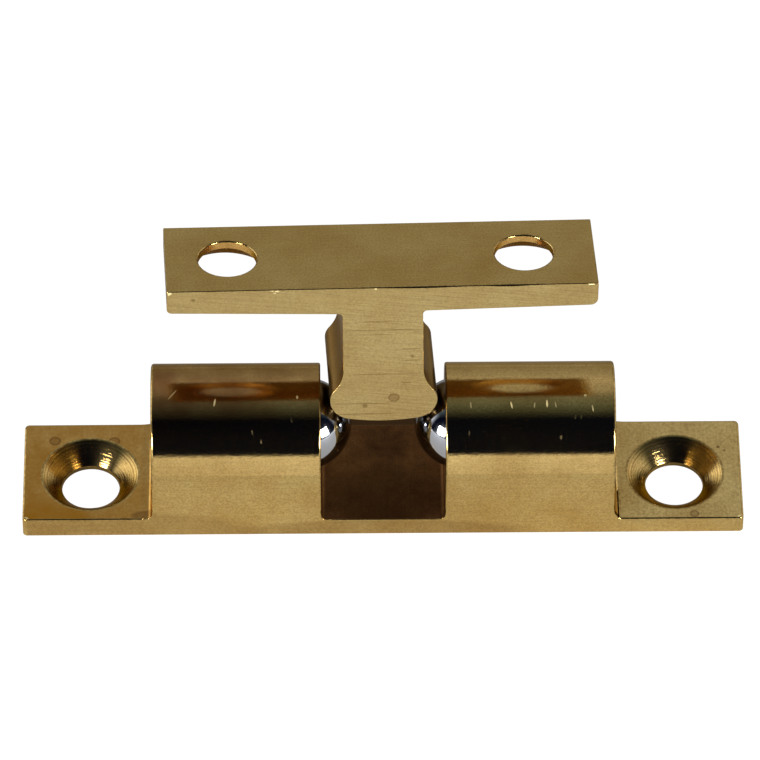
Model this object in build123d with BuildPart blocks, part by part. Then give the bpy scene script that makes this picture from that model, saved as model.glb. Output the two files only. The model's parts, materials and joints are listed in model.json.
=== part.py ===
from build123d import *
from math import acos, asin, cos, degrees, radians, sin, sqrt
import os

# Double ball catch for a cabinet door, 50 x 9 mm, machined from solid brass.
# The catch body is one length of D-section bar. Its ends are milled down to two screw ears and
# its middle to a floor, which leaves two barrels with an open gap between them. Each barrel is
# bored right through and holds a steel ball, a compression spring and a slotted adjusting screw.
# The ball looks out of a rounded seat at the gap. The striker is a T-section with a waisted stem
# and a rounded nose. It rests on the two balls and leans back, as before it is pushed in.
# Millimetres. +X runs along the catch, +Y to its back, +Z away from the mounting face.
# The origin is at the centre of the catch body's mounting face.

# Catch body
ear_length = 9.0
barrel_length = 11.7
gap_width = 8.6
catch_width = 9.0
catch_height = 10.5
ear_thickness = 1.7
gap_floor = 1.45
root_radius = 0.3
ear_corner_radius = 0.25

# Screw holes in the ears, for countersunk wood screws
ear_hole_diameter = 4.0
ear_countersink_diameter = 6.7
ear_hole_from_end = 4.65
ear_hole_shift = -0.25
countersink_angle = 90.0

# Balls and their bores
ball_diameter = 6.35
ball_projection = 2.13
ball_clearance = 0.05
wall_over_bore = 0.825

# Adjusting screws, in the tapped outer ends of the bores
thread_over_bore = 0.45
screw_length = 3.2
screw_recess = 0.4
screw_clearance = 0.04
screw_chamfer = 0.35
tapped_run_out = 0.8
tapped_mouth_chamfer = 0.2
slot_width = 1.0
slot_depth = 1.3
slot_angles = {"left": 62.0, "right": -24.0}

# Springs, with a closed and ground coil at each end. The round wire is drawn with eight sides,
# which keeps the facets of the two springs few.
spring_wire = 0.5
wire_sides = 8
spring_side_gap = 0.7
spring_active_coils = 3
spring_closed_gap = 0.03
spring_seat_gap = 0.03
ground_share = 0.42

# Striker
striker_length = 29.4
striker_depth = 7.4
plate_thickness = 1.8
plate_root_radius = 0.3
plate_edge_radius = 0.3
neck_width = 5.5
stem_shift = 0.2
nose_side_gap = 0.6
nose_widest = 9.65
nose_flare_radius = 2.8
nose_shoulder_radius = 1.3
nose_corner_radius = 1.45
nose_crown_radius = 9.0
striker_hole_diameter = 4.0
striker_countersink_diameter = 6.7
striker_hole_from_end = 4.55
striker_hole_shift = -0.3

# How the striker leans on the two balls, in degrees, and the gap left under its nose.
# The balls touch the nose this far in front of the middle of its depth.
striker_tilt = 9.0
striker_roll = 1.2
striker_yaw = 2.4
striker_overhang = 1.68
striker_rest_gap = 0.05

# Worked out: catch body and bores
half_gap = gap_width / 2
barrel_end = half_gap + barrel_length
half_length = barrel_end + ear_length
arch_radius = catch_width / 2
arch_height = catch_height - arch_radius
ear_hole_x = half_length - ear_hole_from_end
ball_radius = ball_diameter / 2
ball_x = half_gap - ball_projection + ball_radius
bore_radius = ball_radius + ball_clearance
bore_z = catch_height - wall_over_bore - bore_radius
bore_axis = Axis((0, 0, bore_z), (1, 0, 0))
sides = {"left": -1, "right": 1}

# Worked out: adjusting screws
screw_radius = bore_radius + thread_over_bore / 2
tapped_radius = screw_radius + screw_clearance
screw_outer_x = barrel_end - screw_recess
screw_inner_x = screw_outer_x - screw_length
tapped_x = screw_inner_x - tapped_run_out

# Worked out: springs. The ground end is a flat ring, whose inner edge meets the ball.
wire_radius = spring_wire / 2
coil_radius = bore_radius - spring_side_gap - wire_radius
ground_height = wire_radius - ground_share * spring_wire
ring_inner_radius = coil_radius - sqrt(wire_radius**2 - ground_height**2)
spring_start_x = ball_x + sqrt(ball_radius**2 - ring_inner_radius**2) + spring_seat_gap
spring_length = screw_inner_x - spring_seat_gap - spring_start_x
closed_pitch = spring_wire + spring_closed_gap
active_height = spring_length - 2 * ground_height - 2 * closed_pitch

# Worked out: striker profile. The flare and the shoulder are arcs that meet at the flare angle,
# and the crown under the nose meets its corner arcs at the crown angle.
neck_half = neck_width / 2
nose_half = half_gap - nose_side_gap
flare_angle = acos(1 - (nose_half - neck_half) / (nose_flare_radius + nose_shoulder_radius))
neck_end = nose_widest - (nose_flare_radius + nose_shoulder_radius) * sin(flare_angle)
corner_x = nose_half - nose_corner_radius
crown_angle = asin(corner_x / (nose_crown_radius - nose_corner_radius))
crown_centre_y = -nose_widest + (nose_crown_radius - nose_corner_radius) * cos(crown_angle)

# Worked out: where the striker rests. Seen along the striker's depth, each ball's circle meets
# the arc of a nose corner, so the middle of the balls lies square to the line between the two
# half spans, at the height where both distances are the sum of the radii and the gap.
lean = Plane.XY.rotated((-striker_tilt, striker_roll, striker_yaw), ordering=Extrinsic.XYZ)
along, across, upward = lean.x_dir, lean.y_dir, lean.z_dir
span_x = ball_x * along.X - corner_x
span_y = ball_x * upward.X
span = sqrt(span_x**2 + span_y**2)
contact = ball_radius + nose_corner_radius + striker_rest_gap
drop = sqrt(contact**2 - span**2)
balls_x = stem_shift + drop * span_y / span
balls_y = -nose_widest - drop * span_x / span
balls_middle = Vector(0, 0, bore_z)
striker_origin = balls_middle - along * balls_x - upward * balls_y + across * striker_overhang
profile_plane = Plane(striker_origin, x_dir=along, z_dir=-across)
underside = Plane(striker_origin - upward * plate_thickness, x_dir=along, z_dir=-upward)

os.makedirs("parts", exist_ok=True)


# Catch body: a D-section bar, milled from the side
with BuildPart() as catch_body:
    with BuildSketch(Plane.YZ.offset(-half_length)):
        with BuildLine():
            Polyline(
                (-arch_radius, arch_height),
                (-arch_radius, 0),
                (arch_radius, 0),
                (arch_radius, arch_height),
            )
            CenterArc((0, arch_height), arch_radius, 0, 180)
        make_face()
    extrude(amount=2 * half_length)

    # The milled outline has two ears, two barrels and the gap floor
    milled_top = catch_height + root_radius
    right_outline = [
        (half_gap, gap_floor),
        (half_gap, milled_top),
        (barrel_end, milled_top),
        (barrel_end, ear_thickness),
        (half_length, ear_thickness),
        (half_length, 0),
    ]
    left_outline = [(-x, z) for x, z in reversed(right_outline)]
    with BuildSketch(Plane.XZ):
        with BuildLine():
            Polyline(*right_outline, *left_outline, close=True)
        make_face()
    extrude(amount=catch_width, both=True, mode=Mode.INTERSECT)

    # The cutter leaves a small radius where it turned up the barrel faces
    crosswise = edges().filter_by(Axis.Y).filter_by_position(Axis.X, -barrel_end, barrel_end)
    floor_heights = sorted((gap_floor, ear_thickness))
    fillet(crosswise.filter_by_position(Axis.Z, *floor_heights), root_radius)
    end_corners = edges().filter_by(Axis.Z).group_by(Axis.X)
    fillet(end_corners[0] + end_corners[-1], ear_corner_radius)

    # Countersunk screw holes
    with Locations(Plane.XY.offset(ear_thickness)):
        with Locations((-ear_hole_x, ear_hole_shift), (ear_hole_x, ear_hole_shift)):
            CounterSinkHole(
                ear_hole_diameter / 2,
                ear_countersink_diameter / 2,
                counter_sink_angle=countersink_angle,
            )

    # Bores: a rounded seat at the gap keeps the ball in, and the outer end is tapped
    for side in sides.values():
        with BuildSketch(Plane.XZ):
            with BuildLine():
                seat_tip = side * (ball_x - bore_radius)
                CenterArc((side * ball_x, bore_z), bore_radius, 90, side * 90)
                Polyline(
                    (side * ball_x, bore_z + bore_radius),
                    (side * (tapped_x - thread_over_bore / 2), bore_z + bore_radius),
                    (side * tapped_x, bore_z + tapped_radius),
                    (side * (barrel_end - tapped_mouth_chamfer), bore_z + tapped_radius),
                    (side * barrel_end, bore_z + tapped_radius + tapped_mouth_chamfer),
                    (side * barrel_end, bore_z),
                    (seat_tip, bore_z),
                )
            make_face()
        revolve(axis=bore_axis, mode=Mode.SUBTRACT)

catch_body.part.label = "catch_body"
export_step(catch_body.part, "parts/catch_body.step")


# Steel balls
for name, side in sides.items():
    with BuildPart() as ball:
        with Locations((side * ball_x, 0, bore_z)):
            Sphere(ball_radius)

    ball.part.label = f"ball_{name}"
    export_step(ball.part, f"parts/ball_{name}.step")


# Springs: one closed coil, the active coils and another closed coil, ground flat at both ends
for name, side in sides.items():
    first_coil_x = spring_start_x + ground_height
    active_x = first_coil_x + closed_pitch
    last_coil_x = active_x + active_height
    coils = [
        (first_coil_x, closed_pitch, 1),
        (active_x, active_height, spring_active_coils),
        (last_coil_x, closed_pitch, 1),
    ]
    with BuildPart() as spring:
        with BuildLine() as wire_path:
            for coil_x, height, turns in coils:
                Helix(
                    height / turns,
                    height,
                    coil_radius,
                    center=(side * coil_x, 0, bore_z),
                    direction=(side, 0, 0),
                )
        with BuildSketch(Plane(wire_path.line @ 0, z_dir=wire_path.line % 0)):
            RegularPolygon(wire_radius, wire_sides)
        sweep(path=wire_path.line, is_frenet=True)
        start_plane = Plane((side * spring_start_x, 0, bore_z), z_dir=(side, 0, 0))
        split(bisect_by=start_plane, keep=Keep.TOP)
        split(bisect_by=start_plane.offset(spring_length), keep=Keep.BOTTOM)

    spring.part.label = f"spring_{name}"
    export_step(spring.part, f"parts/spring_{name}.step")


# Adjusting screws: slotted at the outer end, bearing on the spring with the inner one
for name, side in sides.items():
    inner_end = Plane((side * screw_inner_x, 0, bore_z), x_dir=(0, 1, 0), z_dir=(side, 0, 0))
    with BuildPart() as adjusting_screw:
        with BuildSketch(inner_end):
            Circle(screw_radius)
        extrude(amount=screw_length)
        chamfer(edges().filter_by(GeomType.CIRCLE), screw_chamfer)
        with BuildSketch(inner_end.offset(screw_length)):
            Rectangle(2 * screw_radius, slot_width, rotation=slot_angles[name])
        extrude(amount=-slot_depth, mode=Mode.SUBTRACT)

    adjusting_screw.part.label = f"adjusting_screw_{name}"
    export_step(adjusting_screw.part, f"parts/adjusting_screw_{name}.step")


# Striker: a T-section, cut to length across the bar, and drilled from the stem side
with BuildPart() as striker:
    with BuildSketch(profile_plane):
        with Locations((0, -plate_thickness / 2)):
            Rectangle(striker_length, plate_thickness)
        lower_edges = vertices().group_by(Axis.Y)[0]
        fillet(lower_edges, plate_edge_radius)

        flare_x = neck_half + nose_flare_radius
        shoulder_x = nose_half - nose_shoulder_radius
        turn = degrees(flare_angle)
        crown = degrees(crown_angle)
        with BuildLine():
            for side in sides.values():
                start = 90 - 90 * side
                inner = 180 - start
                CenterArc((stem_shift, crown_centre_y), nose_crown_radius, -90, side * crown)
                CenterArc(
                    (stem_shift + side * corner_x, -nose_widest),
                    nose_corner_radius,
                    -90 + side * crown,
                    side * (90 - crown),
                )
                CenterArc(
                    (stem_shift + side * shoulder_x, -nose_widest),
                    nose_shoulder_radius,
                    start,
                    side * turn,
                )
                CenterArc(
                    (stem_shift + side * flare_x, -neck_end),
                    nose_flare_radius,
                    inner,
                    side * turn,
                )
                Line(
                    (stem_shift + side * neck_half, -neck_end),
                    (stem_shift + side * neck_half, -plate_thickness / 2),
                )
            Line(
                (stem_shift - neck_half, -plate_thickness / 2),
                (stem_shift + neck_half, -plate_thickness / 2),
            )
        make_face()
        beside_neck = vertices().filter_by_position(Axis.X, -neck_width, neck_width)
        root_heights = (-plate_thickness - plate_root_radius, -plate_thickness + plate_root_radius)
        fillet(beside_neck.filter_by_position(Axis.Y, *root_heights), plate_root_radius)
    extrude(amount=striker_depth / 2, both=True)

    with Locations(underside):
        hole_x = striker_length / 2 - striker_hole_from_end
        with Locations((striker_hole_shift - hole_x, 0), (striker_hole_shift + hole_x, 0)):
            CounterSinkHole(
                striker_hole_diameter / 2,
                striker_countersink_diameter / 2,
                counter_sink_angle=countersink_angle,
            )

striker.part.label = "striker"
export_step(striker.part, "parts/striker.step")
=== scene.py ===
"""Looks of a brass double ball catch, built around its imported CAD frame.

The catch body, striker, balls, springs and adjusting screws are surfaces worked out with numpy in
millimetres and written as meshes in metres, each in the place of the CAD node that it stands for.
The finishes are procedural: drawn, milled, sawn and turned brass, chrome steel and spring steel.
"""

import json
import logging
from collections.abc import Callable
from dataclasses import dataclass, field
from enum import Enum, IntEnum
from math import acos, asin, cos, degrees, pi, radians, sin, sqrt

import bmesh
import bpy
import numpy as np
from mathutils import Matrix, Vector

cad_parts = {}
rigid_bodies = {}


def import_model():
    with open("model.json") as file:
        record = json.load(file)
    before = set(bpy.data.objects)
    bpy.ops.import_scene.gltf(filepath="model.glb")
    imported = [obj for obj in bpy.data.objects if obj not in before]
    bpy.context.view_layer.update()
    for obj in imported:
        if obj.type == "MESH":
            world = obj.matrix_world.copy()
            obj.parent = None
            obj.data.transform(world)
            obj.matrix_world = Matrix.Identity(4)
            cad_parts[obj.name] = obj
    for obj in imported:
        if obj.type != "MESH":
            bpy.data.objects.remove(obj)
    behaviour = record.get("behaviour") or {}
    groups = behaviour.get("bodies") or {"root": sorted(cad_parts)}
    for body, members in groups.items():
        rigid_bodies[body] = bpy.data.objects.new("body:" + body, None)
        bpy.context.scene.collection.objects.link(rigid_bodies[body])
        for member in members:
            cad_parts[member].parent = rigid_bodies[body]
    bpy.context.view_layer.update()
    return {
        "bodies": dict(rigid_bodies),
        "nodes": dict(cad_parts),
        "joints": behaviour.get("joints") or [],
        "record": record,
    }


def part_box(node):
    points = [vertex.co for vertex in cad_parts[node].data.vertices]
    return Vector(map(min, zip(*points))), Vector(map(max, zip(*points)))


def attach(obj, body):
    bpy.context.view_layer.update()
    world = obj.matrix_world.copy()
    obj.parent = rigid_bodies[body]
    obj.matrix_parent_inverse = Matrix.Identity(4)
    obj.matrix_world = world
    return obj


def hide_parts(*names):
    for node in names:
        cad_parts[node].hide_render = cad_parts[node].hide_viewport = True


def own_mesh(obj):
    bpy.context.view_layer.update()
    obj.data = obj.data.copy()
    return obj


Pair = tuple[float, float]
Triple = tuple[float, float, float]
Tree = bpy.types.NodeTree
Socket = bpy.types.NodeSocket
Material = bpy.types.Material
# What a node's input takes: a value, or the output that feeds it.
Feed = Socket | float | tuple[float, ...]

MM = 0.001
# Points nearer than this, in metres, are one.
WELD_DISTANCE = 1e-7
# An edge that turns by more than this is drawn sharp.
SHARP_ANGLE = radians(32)
# A colour mix takes its share at input 0 and two colours at 6 and 7, and gives one at output 2.
MIX = {"data_type": "RGBA", "clamp_factor": True}
WHITE = (1.0, 1.0, 1.0, 1.0)
# To the eye a cut is pale fresh metal, duller than its face by this roughness. A nick is dark.
# A painted highlight takes the same pale colour as a cut.
PALE_CUT_AND_GLINT = "#F0DCA4"
CUT_ROUGHNESS = 0.45
DARK_NICK = "#120D08"

log = logging.getLogger("bead_catch")


class Side(Enum):
    """Which end of the catch a piece belongs to. The value is its sign along X."""

    LEFT = -1
    RIGHT = 1

    @property
    def label(self) -> str:
        """The word that ends the piece's name."""
        return self.name.lower()


class Lay(Enum):
    """The way the tool marks run on a brass face: 1 for each axis of its frame that they follow."""

    LENGTHWISE = (1.0, 0.0, 0.0)
    CROSSWISE = (0.0, 1.0, 0.0)
    AROUND = (0.0, 1.0, 1.0)
    RINGS = (0.0, 0.0, 0.0)


class BodyFace(IntEnum):
    """The kinds of face on the catch body, in the order of its materials."""

    FLAT = 0
    ARCH = 1
    EAR = 2
    COUNTERSINK = 3
    GAP = 4
    END = 5
    BORE = 6
    EDGE = 7


class StrikerFace(IntEnum):
    """The kinds of face on the striker, in the order of its materials."""

    PLATE = 0
    UNDERSIDE = 1
    STEM = 2
    SAWN = 3
    COUNTERSINK = 4
    EDGE = 5


# Curves and surfaces


def joined(*axes: np.ndarray | float) -> np.ndarray:
    """Points from their coordinates, of which each is an array or one value for all."""
    return np.stack(np.broadcast_arrays(*axes), -1)


def circle_at(angle: np.ndarray, centre: Pair, radius: float) -> np.ndarray:
    """A circle at angles in radians: its centre plus the radius times their cosine and sine."""
    return joined(centre[0] + radius * np.cos(angle), centre[1] + radius * np.sin(angle))


def arc(centre: Pair, radius: float, start: float, turn: float, steps: int) -> np.ndarray:
    """Points of an arc from its start through a turn, in degrees anticlockwise, evenly spaced."""
    return circle_at(np.radians(np.linspace(start, start + turn, steps + 1)), centre, radius)


def line(first: Pair, last: Pair, steps: int) -> np.ndarray:
    """Evenly spaced points on a straight line: steps + 1 rows of two coordinates."""
    return np.linspace(first, last, steps + 1)


def chain(*curves: np.ndarray) -> np.ndarray:
    """One curve from several that meet end to end, with each joint kept once."""
    return np.concatenate([curves[0]] + [curve[1:] for curve in curves[1:]])


def ruled(first: np.ndarray, last: np.ndarray, steps: int) -> np.ndarray:
    """A ruled surface: each point lies on the straight line between two curves' like points.

    Args:
        first: One edge of the surface, as rows of points.
        last: The opposite edge, with as many points.
        steps: Number of equal steps from one edge to the other.

    Returns:
        A grid of points, steps + 1 by the number of points on an edge.
    """
    share = np.linspace(0.0, 1.0, steps + 1)[:, None, None]
    return first + (last - first) * share


def directions(outline: np.ndarray, centre: Pair) -> np.ndarray:
    """The angles at which an outline's points are seen from a centre, in radians without jumps."""
    return np.unwrap(np.arctan2(outline[:, 1] - centre[1], outline[:, 0] - centre[0]))


def thread_cut(travel: np.ndarray, angle: np.ndarray, pitch: float) -> np.ndarray:
    """How deep a right-handed thread is cut, from 0 on its crests to 1 at its roots.

    The share of a turn left after travel over pitch, less the angle over a whole turn, rises and
    falls as a triangle, and clipping it gives the crest and the root their flats of an eighth.

    Args:
        travel: Distance along the axis.
        angle: Angle round the axis in radians, anticlockwise seen against the axis.
        pitch: Distance from one crest to the next.

    Returns:
        The depth at each point, as a share of the whole depth.
    """
    flat = 0.125
    phase = np.mod(travel / pitch - angle / (2 * pi), 1.0)
    return np.clip((1 + 2 * flat) * (1.0 - np.abs(2.0 * phase - 1.0)) - flat, 0.0, 1.0)


class Shell:
    """A closed mesh made of grids and flat caps that share their edges."""

    def __init__(self) -> None:
        """Starts with no points and no faces."""
        self.points: list[np.ndarray] = []
        self.faces: list[list[int]] = []
        self.finishes: list[int] = []
        self.count = 0

    def add_points(self, points: np.ndarray) -> int:
        """Adds points in millimetres.

        Args:
            points: Any array whose last axis holds x, y and z.

        Returns:
            The index of the first of them.
        """
        first = self.count
        self.points.append(points.reshape(-1, 3))
        self.count += len(self.points[-1])
        return first

    def add_grid(self, grid: np.ndarray, finish: int = 0) -> None:
        """Adds a grid of points with a four-sided face between each four neighbours.

        Args:
            grid: Rows by columns by x, y, z, in millimetres.
            finish: Index of the material in the piece's list.
        """
        rows, columns = grid.shape[:2]
        index = self.add_points(grid) + np.arange(rows * columns).reshape(rows, columns)
        quads = np.stack([index[:-1, :-1], index[1:, :-1], index[1:, 1:], index[:-1, 1:]], -1)
        self.faces += quads.reshape(-1, 4).tolist()
        self.finishes += [finish] * ((rows - 1) * (columns - 1))

    def add_cap(self, loop: np.ndarray, finish: int = 0) -> None:
        """Adds one flat face inside a closed loop.

        Args:
            loop: The loop's points in order, the first not repeated, in millimetres.
            finish: Index of the material in the piece's list.
        """
        first = self.add_points(loop)
        self.faces.append(list(range(first, first + len(loop))))
        self.finishes.append(finish)

    def build(
        self, name: str, materials: list[Material], unbroken: int | None = None
    ) -> bpy.types.Object:
        """Welds what was added into one mesh that faces outwards.

        Its sharp edges are weighted for breaking, apart from those within one kind of face.

        Args:
            name: The piece's name.
            materials: Its materials, in the order of the finish indices.
            unbroken: The kind of face whose own edges stay sharp, such as a thread's crests.

        Returns:
            The new object, at the origin, with its place in its mesh.
        """
        mesh = bpy.data.meshes.new(name)
        mesh.from_pydata((np.concatenate(self.points) * MM).tolist(), [], self.faces)
        mesh.polygons.foreach_set("material_index", self.finishes)
        welded = bmesh.new()
        welded.from_mesh(mesh)
        bmesh.ops.remove_doubles(welded, verts=welded.verts, dist=WELD_DISTANCE)
        bmesh.ops.recalc_face_normals(welded, faces=welded.faces)
        open_edges = sum(1 for edge in welded.edges if len(edge.link_faces) != 2)
        weight = welded.edges.layers.float.new("bevel_weight_edge")
        for edge in welded.edges:
            kinds = {face.material_index for face in edge.link_faces}
            if edge.calc_face_angle(0.0) > SHARP_ANGLE and kinds != {unbroken}:
                edge[weight] = 1.0
        if welded.calc_volume(signed=True) < 0:
            bmesh.ops.reverse_faces(welded, faces=welded.faces)
        welded.to_mesh(mesh)
        welded.free()
        for material in materials:
            mesh.materials.append(material)
        mesh.shade_smooth()
        mesh.set_sharp_from_angle(angle=SHARP_ANGLE)
        piece = bpy.data.objects.new(name, mesh)
        bpy.context.scene.collection.objects.link(piece)
        log.info("%s: %d faces, %d open edges", name, len(mesh.polygons), open_edges)
        return piece


def break_edges(
    piece: bpy.types.Object,
    width: float,
    finish: int,
    shares: Callable[[np.ndarray, np.ndarray], np.ndarray],
) -> None:
    """Rounds a piece's sharp edges slightly, as deburring does, so that they catch the light.

    Args:
        piece: The object to finish.
        width: Width of the widest rounding, in millimetres.
        finish: Index of the material that the rounding takes.
        shares: Gives each edge its share of that width, from 0 to 1, from the middle and the
            direction of each, in millimetres.
    """
    mesh = piece.data
    points = np.empty(len(mesh.vertices) * 3)
    mesh.vertices.foreach_get("co", points)
    ends = np.empty(len(mesh.edges) * 2, dtype=int)
    mesh.edges.foreach_get("vertices", ends)
    pairs = points.reshape(-1, 3)[ends.reshape(-1, 2)] / MM
    along = pairs[:, 1] - pairs[:, 0]
    along /= np.linalg.norm(along, axis=1)[:, None]
    weights = np.empty(len(mesh.edges))
    layer = mesh.attributes["bevel_weight_edge"].data
    layer.foreach_get("value", weights)
    layer.foreach_set("value", weights * shares(pairs.mean(axis=1), along))
    bevel = piece.modifiers.new("edge_break", "BEVEL")
    bevel.width = width * MM
    bevel.segments = 2
    bevel.limit_method = "WEIGHT"
    bevel.harden_normals = True
    bevel.use_clamp_overlap = False
    bevel.material = finish


# Materials


def linear(colour: str) -> tuple[float, float, float, float]:
    """Turns an sRGB hex colour into the linear values that shaders take.

    A coded value up to 0.04045 is divided by 12.92, and a higher one plus 0.055 is divided by
    1.055 and raised to the power 2.4.

    Args:
        colour: Six hex digits after a hash, such as "#C8A35A".

    Returns:
        Linear red, green, blue and an alpha of 1.
    """
    coded = np.array([int(colour[place : place + 2], 16) for place in (1, 3, 5)]) / 255
    value = np.where(coded <= 0.04045, coded / 12.92, ((coded + 0.055) / 1.055) ** 2.4)
    return (*value.tolist(), 1.0)


def add_node(
    tree: Tree, kind: str, inputs: dict | None = None, **settings: object
) -> bpy.types.bpy_prop_collection:
    """Adds a shader node with its settings, values and links.

    Args:
        tree: The node tree that takes it.
        kind: The node's type after the word ShaderNode, such as "Mix".
        inputs: For each input's name or number, a value, or the output socket that feeds it.
        settings: Properties to set on the node.

    Returns:
        The new node's output sockets.
    """
    node = tree.nodes.new(f"ShaderNode{kind}")
    for name, value in settings.items():
        setattr(node, name, value)
    for name, value in (inputs or {}).items():
        if isinstance(value, Socket):
            tree.links.new(value, node.inputs[name])
        else:
            node.inputs[name].default_value = value
    return node.outputs


def new_material(name: str) -> tuple[Material, Tree]:
    """Makes a material with an empty node tree.

    Args:
        name: The material's name.

    Returns:
        The material and its tree.
    """
    material = bpy.data.materials.new(name)
    material.use_nodes = True
    material.node_tree.nodes.clear()
    return material, material.node_tree


class MarkKind(Enum):
    """What a mark on a brass face is."""

    DROP = "drop"
    STAIN = "stain"
    CUT = "cut"
    NICK = "nick"


@dataclass(frozen=True)
class Mark:
    """A dried drop with a dark rim, a plain stain, a cut that bares pale metal, or a dark nick.

    It fills an ellipsoid in the face's own frame. Its place and its half lengths are in
    millimetres, and its turn about X, Y and Z in degrees. The soft edge and the drop's rim are
    shares of the way from its outside to its middle. A stain may also be painted shade, and a
    cut a painted highlight.
    """

    kind: MarkKind
    place: Triple
    size: Triple
    turn: Triple = (0.0, 0.0, 0.0)
    strength: float = 0.6
    soft_edge: float = 0.22
    drop_rim: Pair = (0.2, 0.42)
    drop_middle: float = 0.5

    def mask(self, tree: Tree, own: Socket) -> Socket:
        """The share of the mark at each place: 0 from its edge outwards, and its strength inside.

        Args:
            tree: The material's tree.
            own: The face's own coordinates.

        Returns:
            The socket of the share.
        """
        shape = {
            "Vector": own,
            "Location": [value * MM for value in self.place],
            "Rotation": [radians(value) for value in self.turn],
            "Scale": [value * MM for value in self.size],
        }
        inside = add_node(tree, "Mapping", shape, vector_type="TEXTURE")[0]
        near = add_node(tree, "TexGradient", {0: inside}, gradient_type="SPHERICAL")["Fac"]
        rise = {"Value": near, "From Max": self.soft_edge, "To Max": self.strength}
        share = add_node(tree, "MapRange", rise)[0]
        if self.kind is not MarkKind.DROP:
            return share
        fall = {"From Min": self.drop_rim[0], "From Max": self.drop_rim[1]}
        fall |= {"Value": near, "To Min": 1.0, "To Max": self.drop_middle}
        pale = add_node(tree, "MapRange", fall)[0]
        return add_node(tree, "Math", {0: share, 1: pale}, operation="MULTIPLY")[0]


@dataclass(frozen=True)
class BrassFinish:
    """Free-machining brass as a tool left it, bright under a thin uneven tarnish.

    To the eye: a warm yellow metal with near-mirror gloss, finely mottled, with faint tool marks,
    browner where the tarnish is thicker, and with a few round stains where drops dried. Lengths
    are in millimetres. The mottle is drawn about twice as coarse as the real one, so that it shows.
    Each range says where a ramp over a noise starts and ends. The tarnish's ramp starts and ends at
    the first of a pair less the second times the tarnish's level.
    """

    name: str
    lay: Lay = Lay.LENGTHWISE
    mark_spacing: float = 0.12
    mark_stretch: float = 40.0
    mark_height: float = 0.0004
    mark_tone: float = 0.12
    mark_range: Pair = (0.56, 0.32)
    grain_size: float = 0.13
    grain_height: float = 0.0003
    grain_tone: float = 0.36
    grain_range: Pair = (0.36, 0.7)
    noise_roughness: float = 0.62
    grain_detail: float = 2.0
    tarnish_detail: float = 5.0
    mark_detail: float = 3.0
    line_roughness: float = 0.65
    ring_roughness: float = 0.7
    speckle: float = 0.03
    speckle_range: Pair = (0.54, 0.72)
    roughness: float = 0.14
    roughness_spread: Pair = (0.85, 1.2)
    gloss_range: Pair = (0.3, 0.7)
    slant: float = 0.0
    bright: str = "#BFA86D"
    tarnished: str = "#A58447"
    brown: str = "#5E3C1C"
    tarnish_size: float = 5.0
    tarnish_level: float = 0.5
    tarnish_start: Pair = (0.75, 1.0)
    tarnish_end: Pair = (1.1, 0.5)
    film: str = "#8C6230"
    film_reach: Pair = (0.0, 0.0)
    film_depth: Pair = (-6.0, -5.0)
    film_gain: float = 1.7
    grazing: str = "#EEDEC2"
    turn: Triple = (0.0, 0.0, 0.0)
    centre: Triple = (0.0, 0.0, 0.0)
    hole_offset: float = 0.0
    marks: tuple[Mark, ...] = ()

    def material(self) -> Material:
        """Builds the material.

        Returns:
            A procedural material on Object coordinates in the face's own frame.
        """
        material, tree = new_material(self.name)
        coordinates = add_node(tree, "TexCoord")["Object"]
        centre = [value * MM for value in self.centre]
        frame = {"Vector": coordinates, "Location": centre, "Rotation": self.turn}
        own = add_node(tree, "Mapping", frame, vector_type="TEXTURE")[0]
        lines = self.tool_marks(tree, own)
        noises = []
        for size, detail in (
            (self.grain_size, self.grain_detail),
            (self.tarnish_size, self.tarnish_detail),
        ):
            inputs = {"Scale": 1 / (size * MM), "Detail": detail}
            inputs |= {"Vector": own, "Roughness": self.noise_roughness}
            noises.append(add_node(tree, "TexNoise", inputs)["Fac"])
        grain, tarnish = noises
        colour = self.tone(tree, tarnish, grain, lines)
        if self.film_reach[0] != self.film_reach[1]:
            inputs = {0: self.film_share(tree, own, tarnish), 6: colour, 7: linear(self.film)}
            colour = add_node(tree, "Mix", inputs, **MIX)[2]
        gloss = self.gloss(tree, tarnish, grain)
        # Some marks are painted shade or a painted highlight, not real stains or cuts.
        for mark in self.marks:
            share = mark.mask(tree, own)
            tint = {MarkKind.CUT: PALE_CUT_AND_GLINT, MarkKind.NICK: DARK_NICK}.get(mark.kind, self.brown)
            colour = add_node(tree, "Mix", {0: share, 6: colour, 7: linear(tint)}, **MIX)[2]
            if mark.kind is MarkKind.CUT:
                inputs = {0: share, 1: CUT_ROUGHNESS, 2: gloss}
                gloss = add_node(tree, "Math", inputs, operation="MULTIPLY_ADD")[0]
        normal: dict = {}
        for height, depth in ((lines, self.mark_height), (grain, self.grain_height)):
            bump = {"Height": height, "Strength": 1.0, "Distance": depth * MM}
            normal = {"Normal": add_node(tree, "Bump", bump | normal)[0]}
        look = {"Base Color": colour, "Metallic": 1.0, "Roughness": gloss}
        look |= {"Specular Tint": linear(self.grazing)} | normal
        shader = add_node(tree, "BsdfPrincipled", look)["BSDF"]
        add_node(tree, "OutputMaterial", {"Surface": shader})
        return material

    def gloss(self, tree: Tree, tarnish: Socket, grain: Socket) -> Socket:
        """The roughness at each place: it grows with the tarnish and on the mottle's crests.

        Args:
            tree: The material's tree.
            tarnish: Noise that says how tarnished each place is.
            grain: Noise of the mottle.

        Returns:
            The socket of the roughness.
        """
        low, high = (share * self.roughness for share in self.roughness_spread)
        parts = []
        for source, (first, last), least, most in (
            (tarnish, self.gloss_range, low, high),
            (grain, self.speckle_range, 0.0, self.speckle),
        ):
            inputs = {"Value": source, "From Min": first, "From Max": last}
            inputs |= {"To Min": least, "To Max": most}
            parts.append(add_node(tree, "MapRange", inputs)[0])
        return add_node(tree, "Math", {0: parts[0], 1: parts[1]}, operation="ADD")[0]

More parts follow.
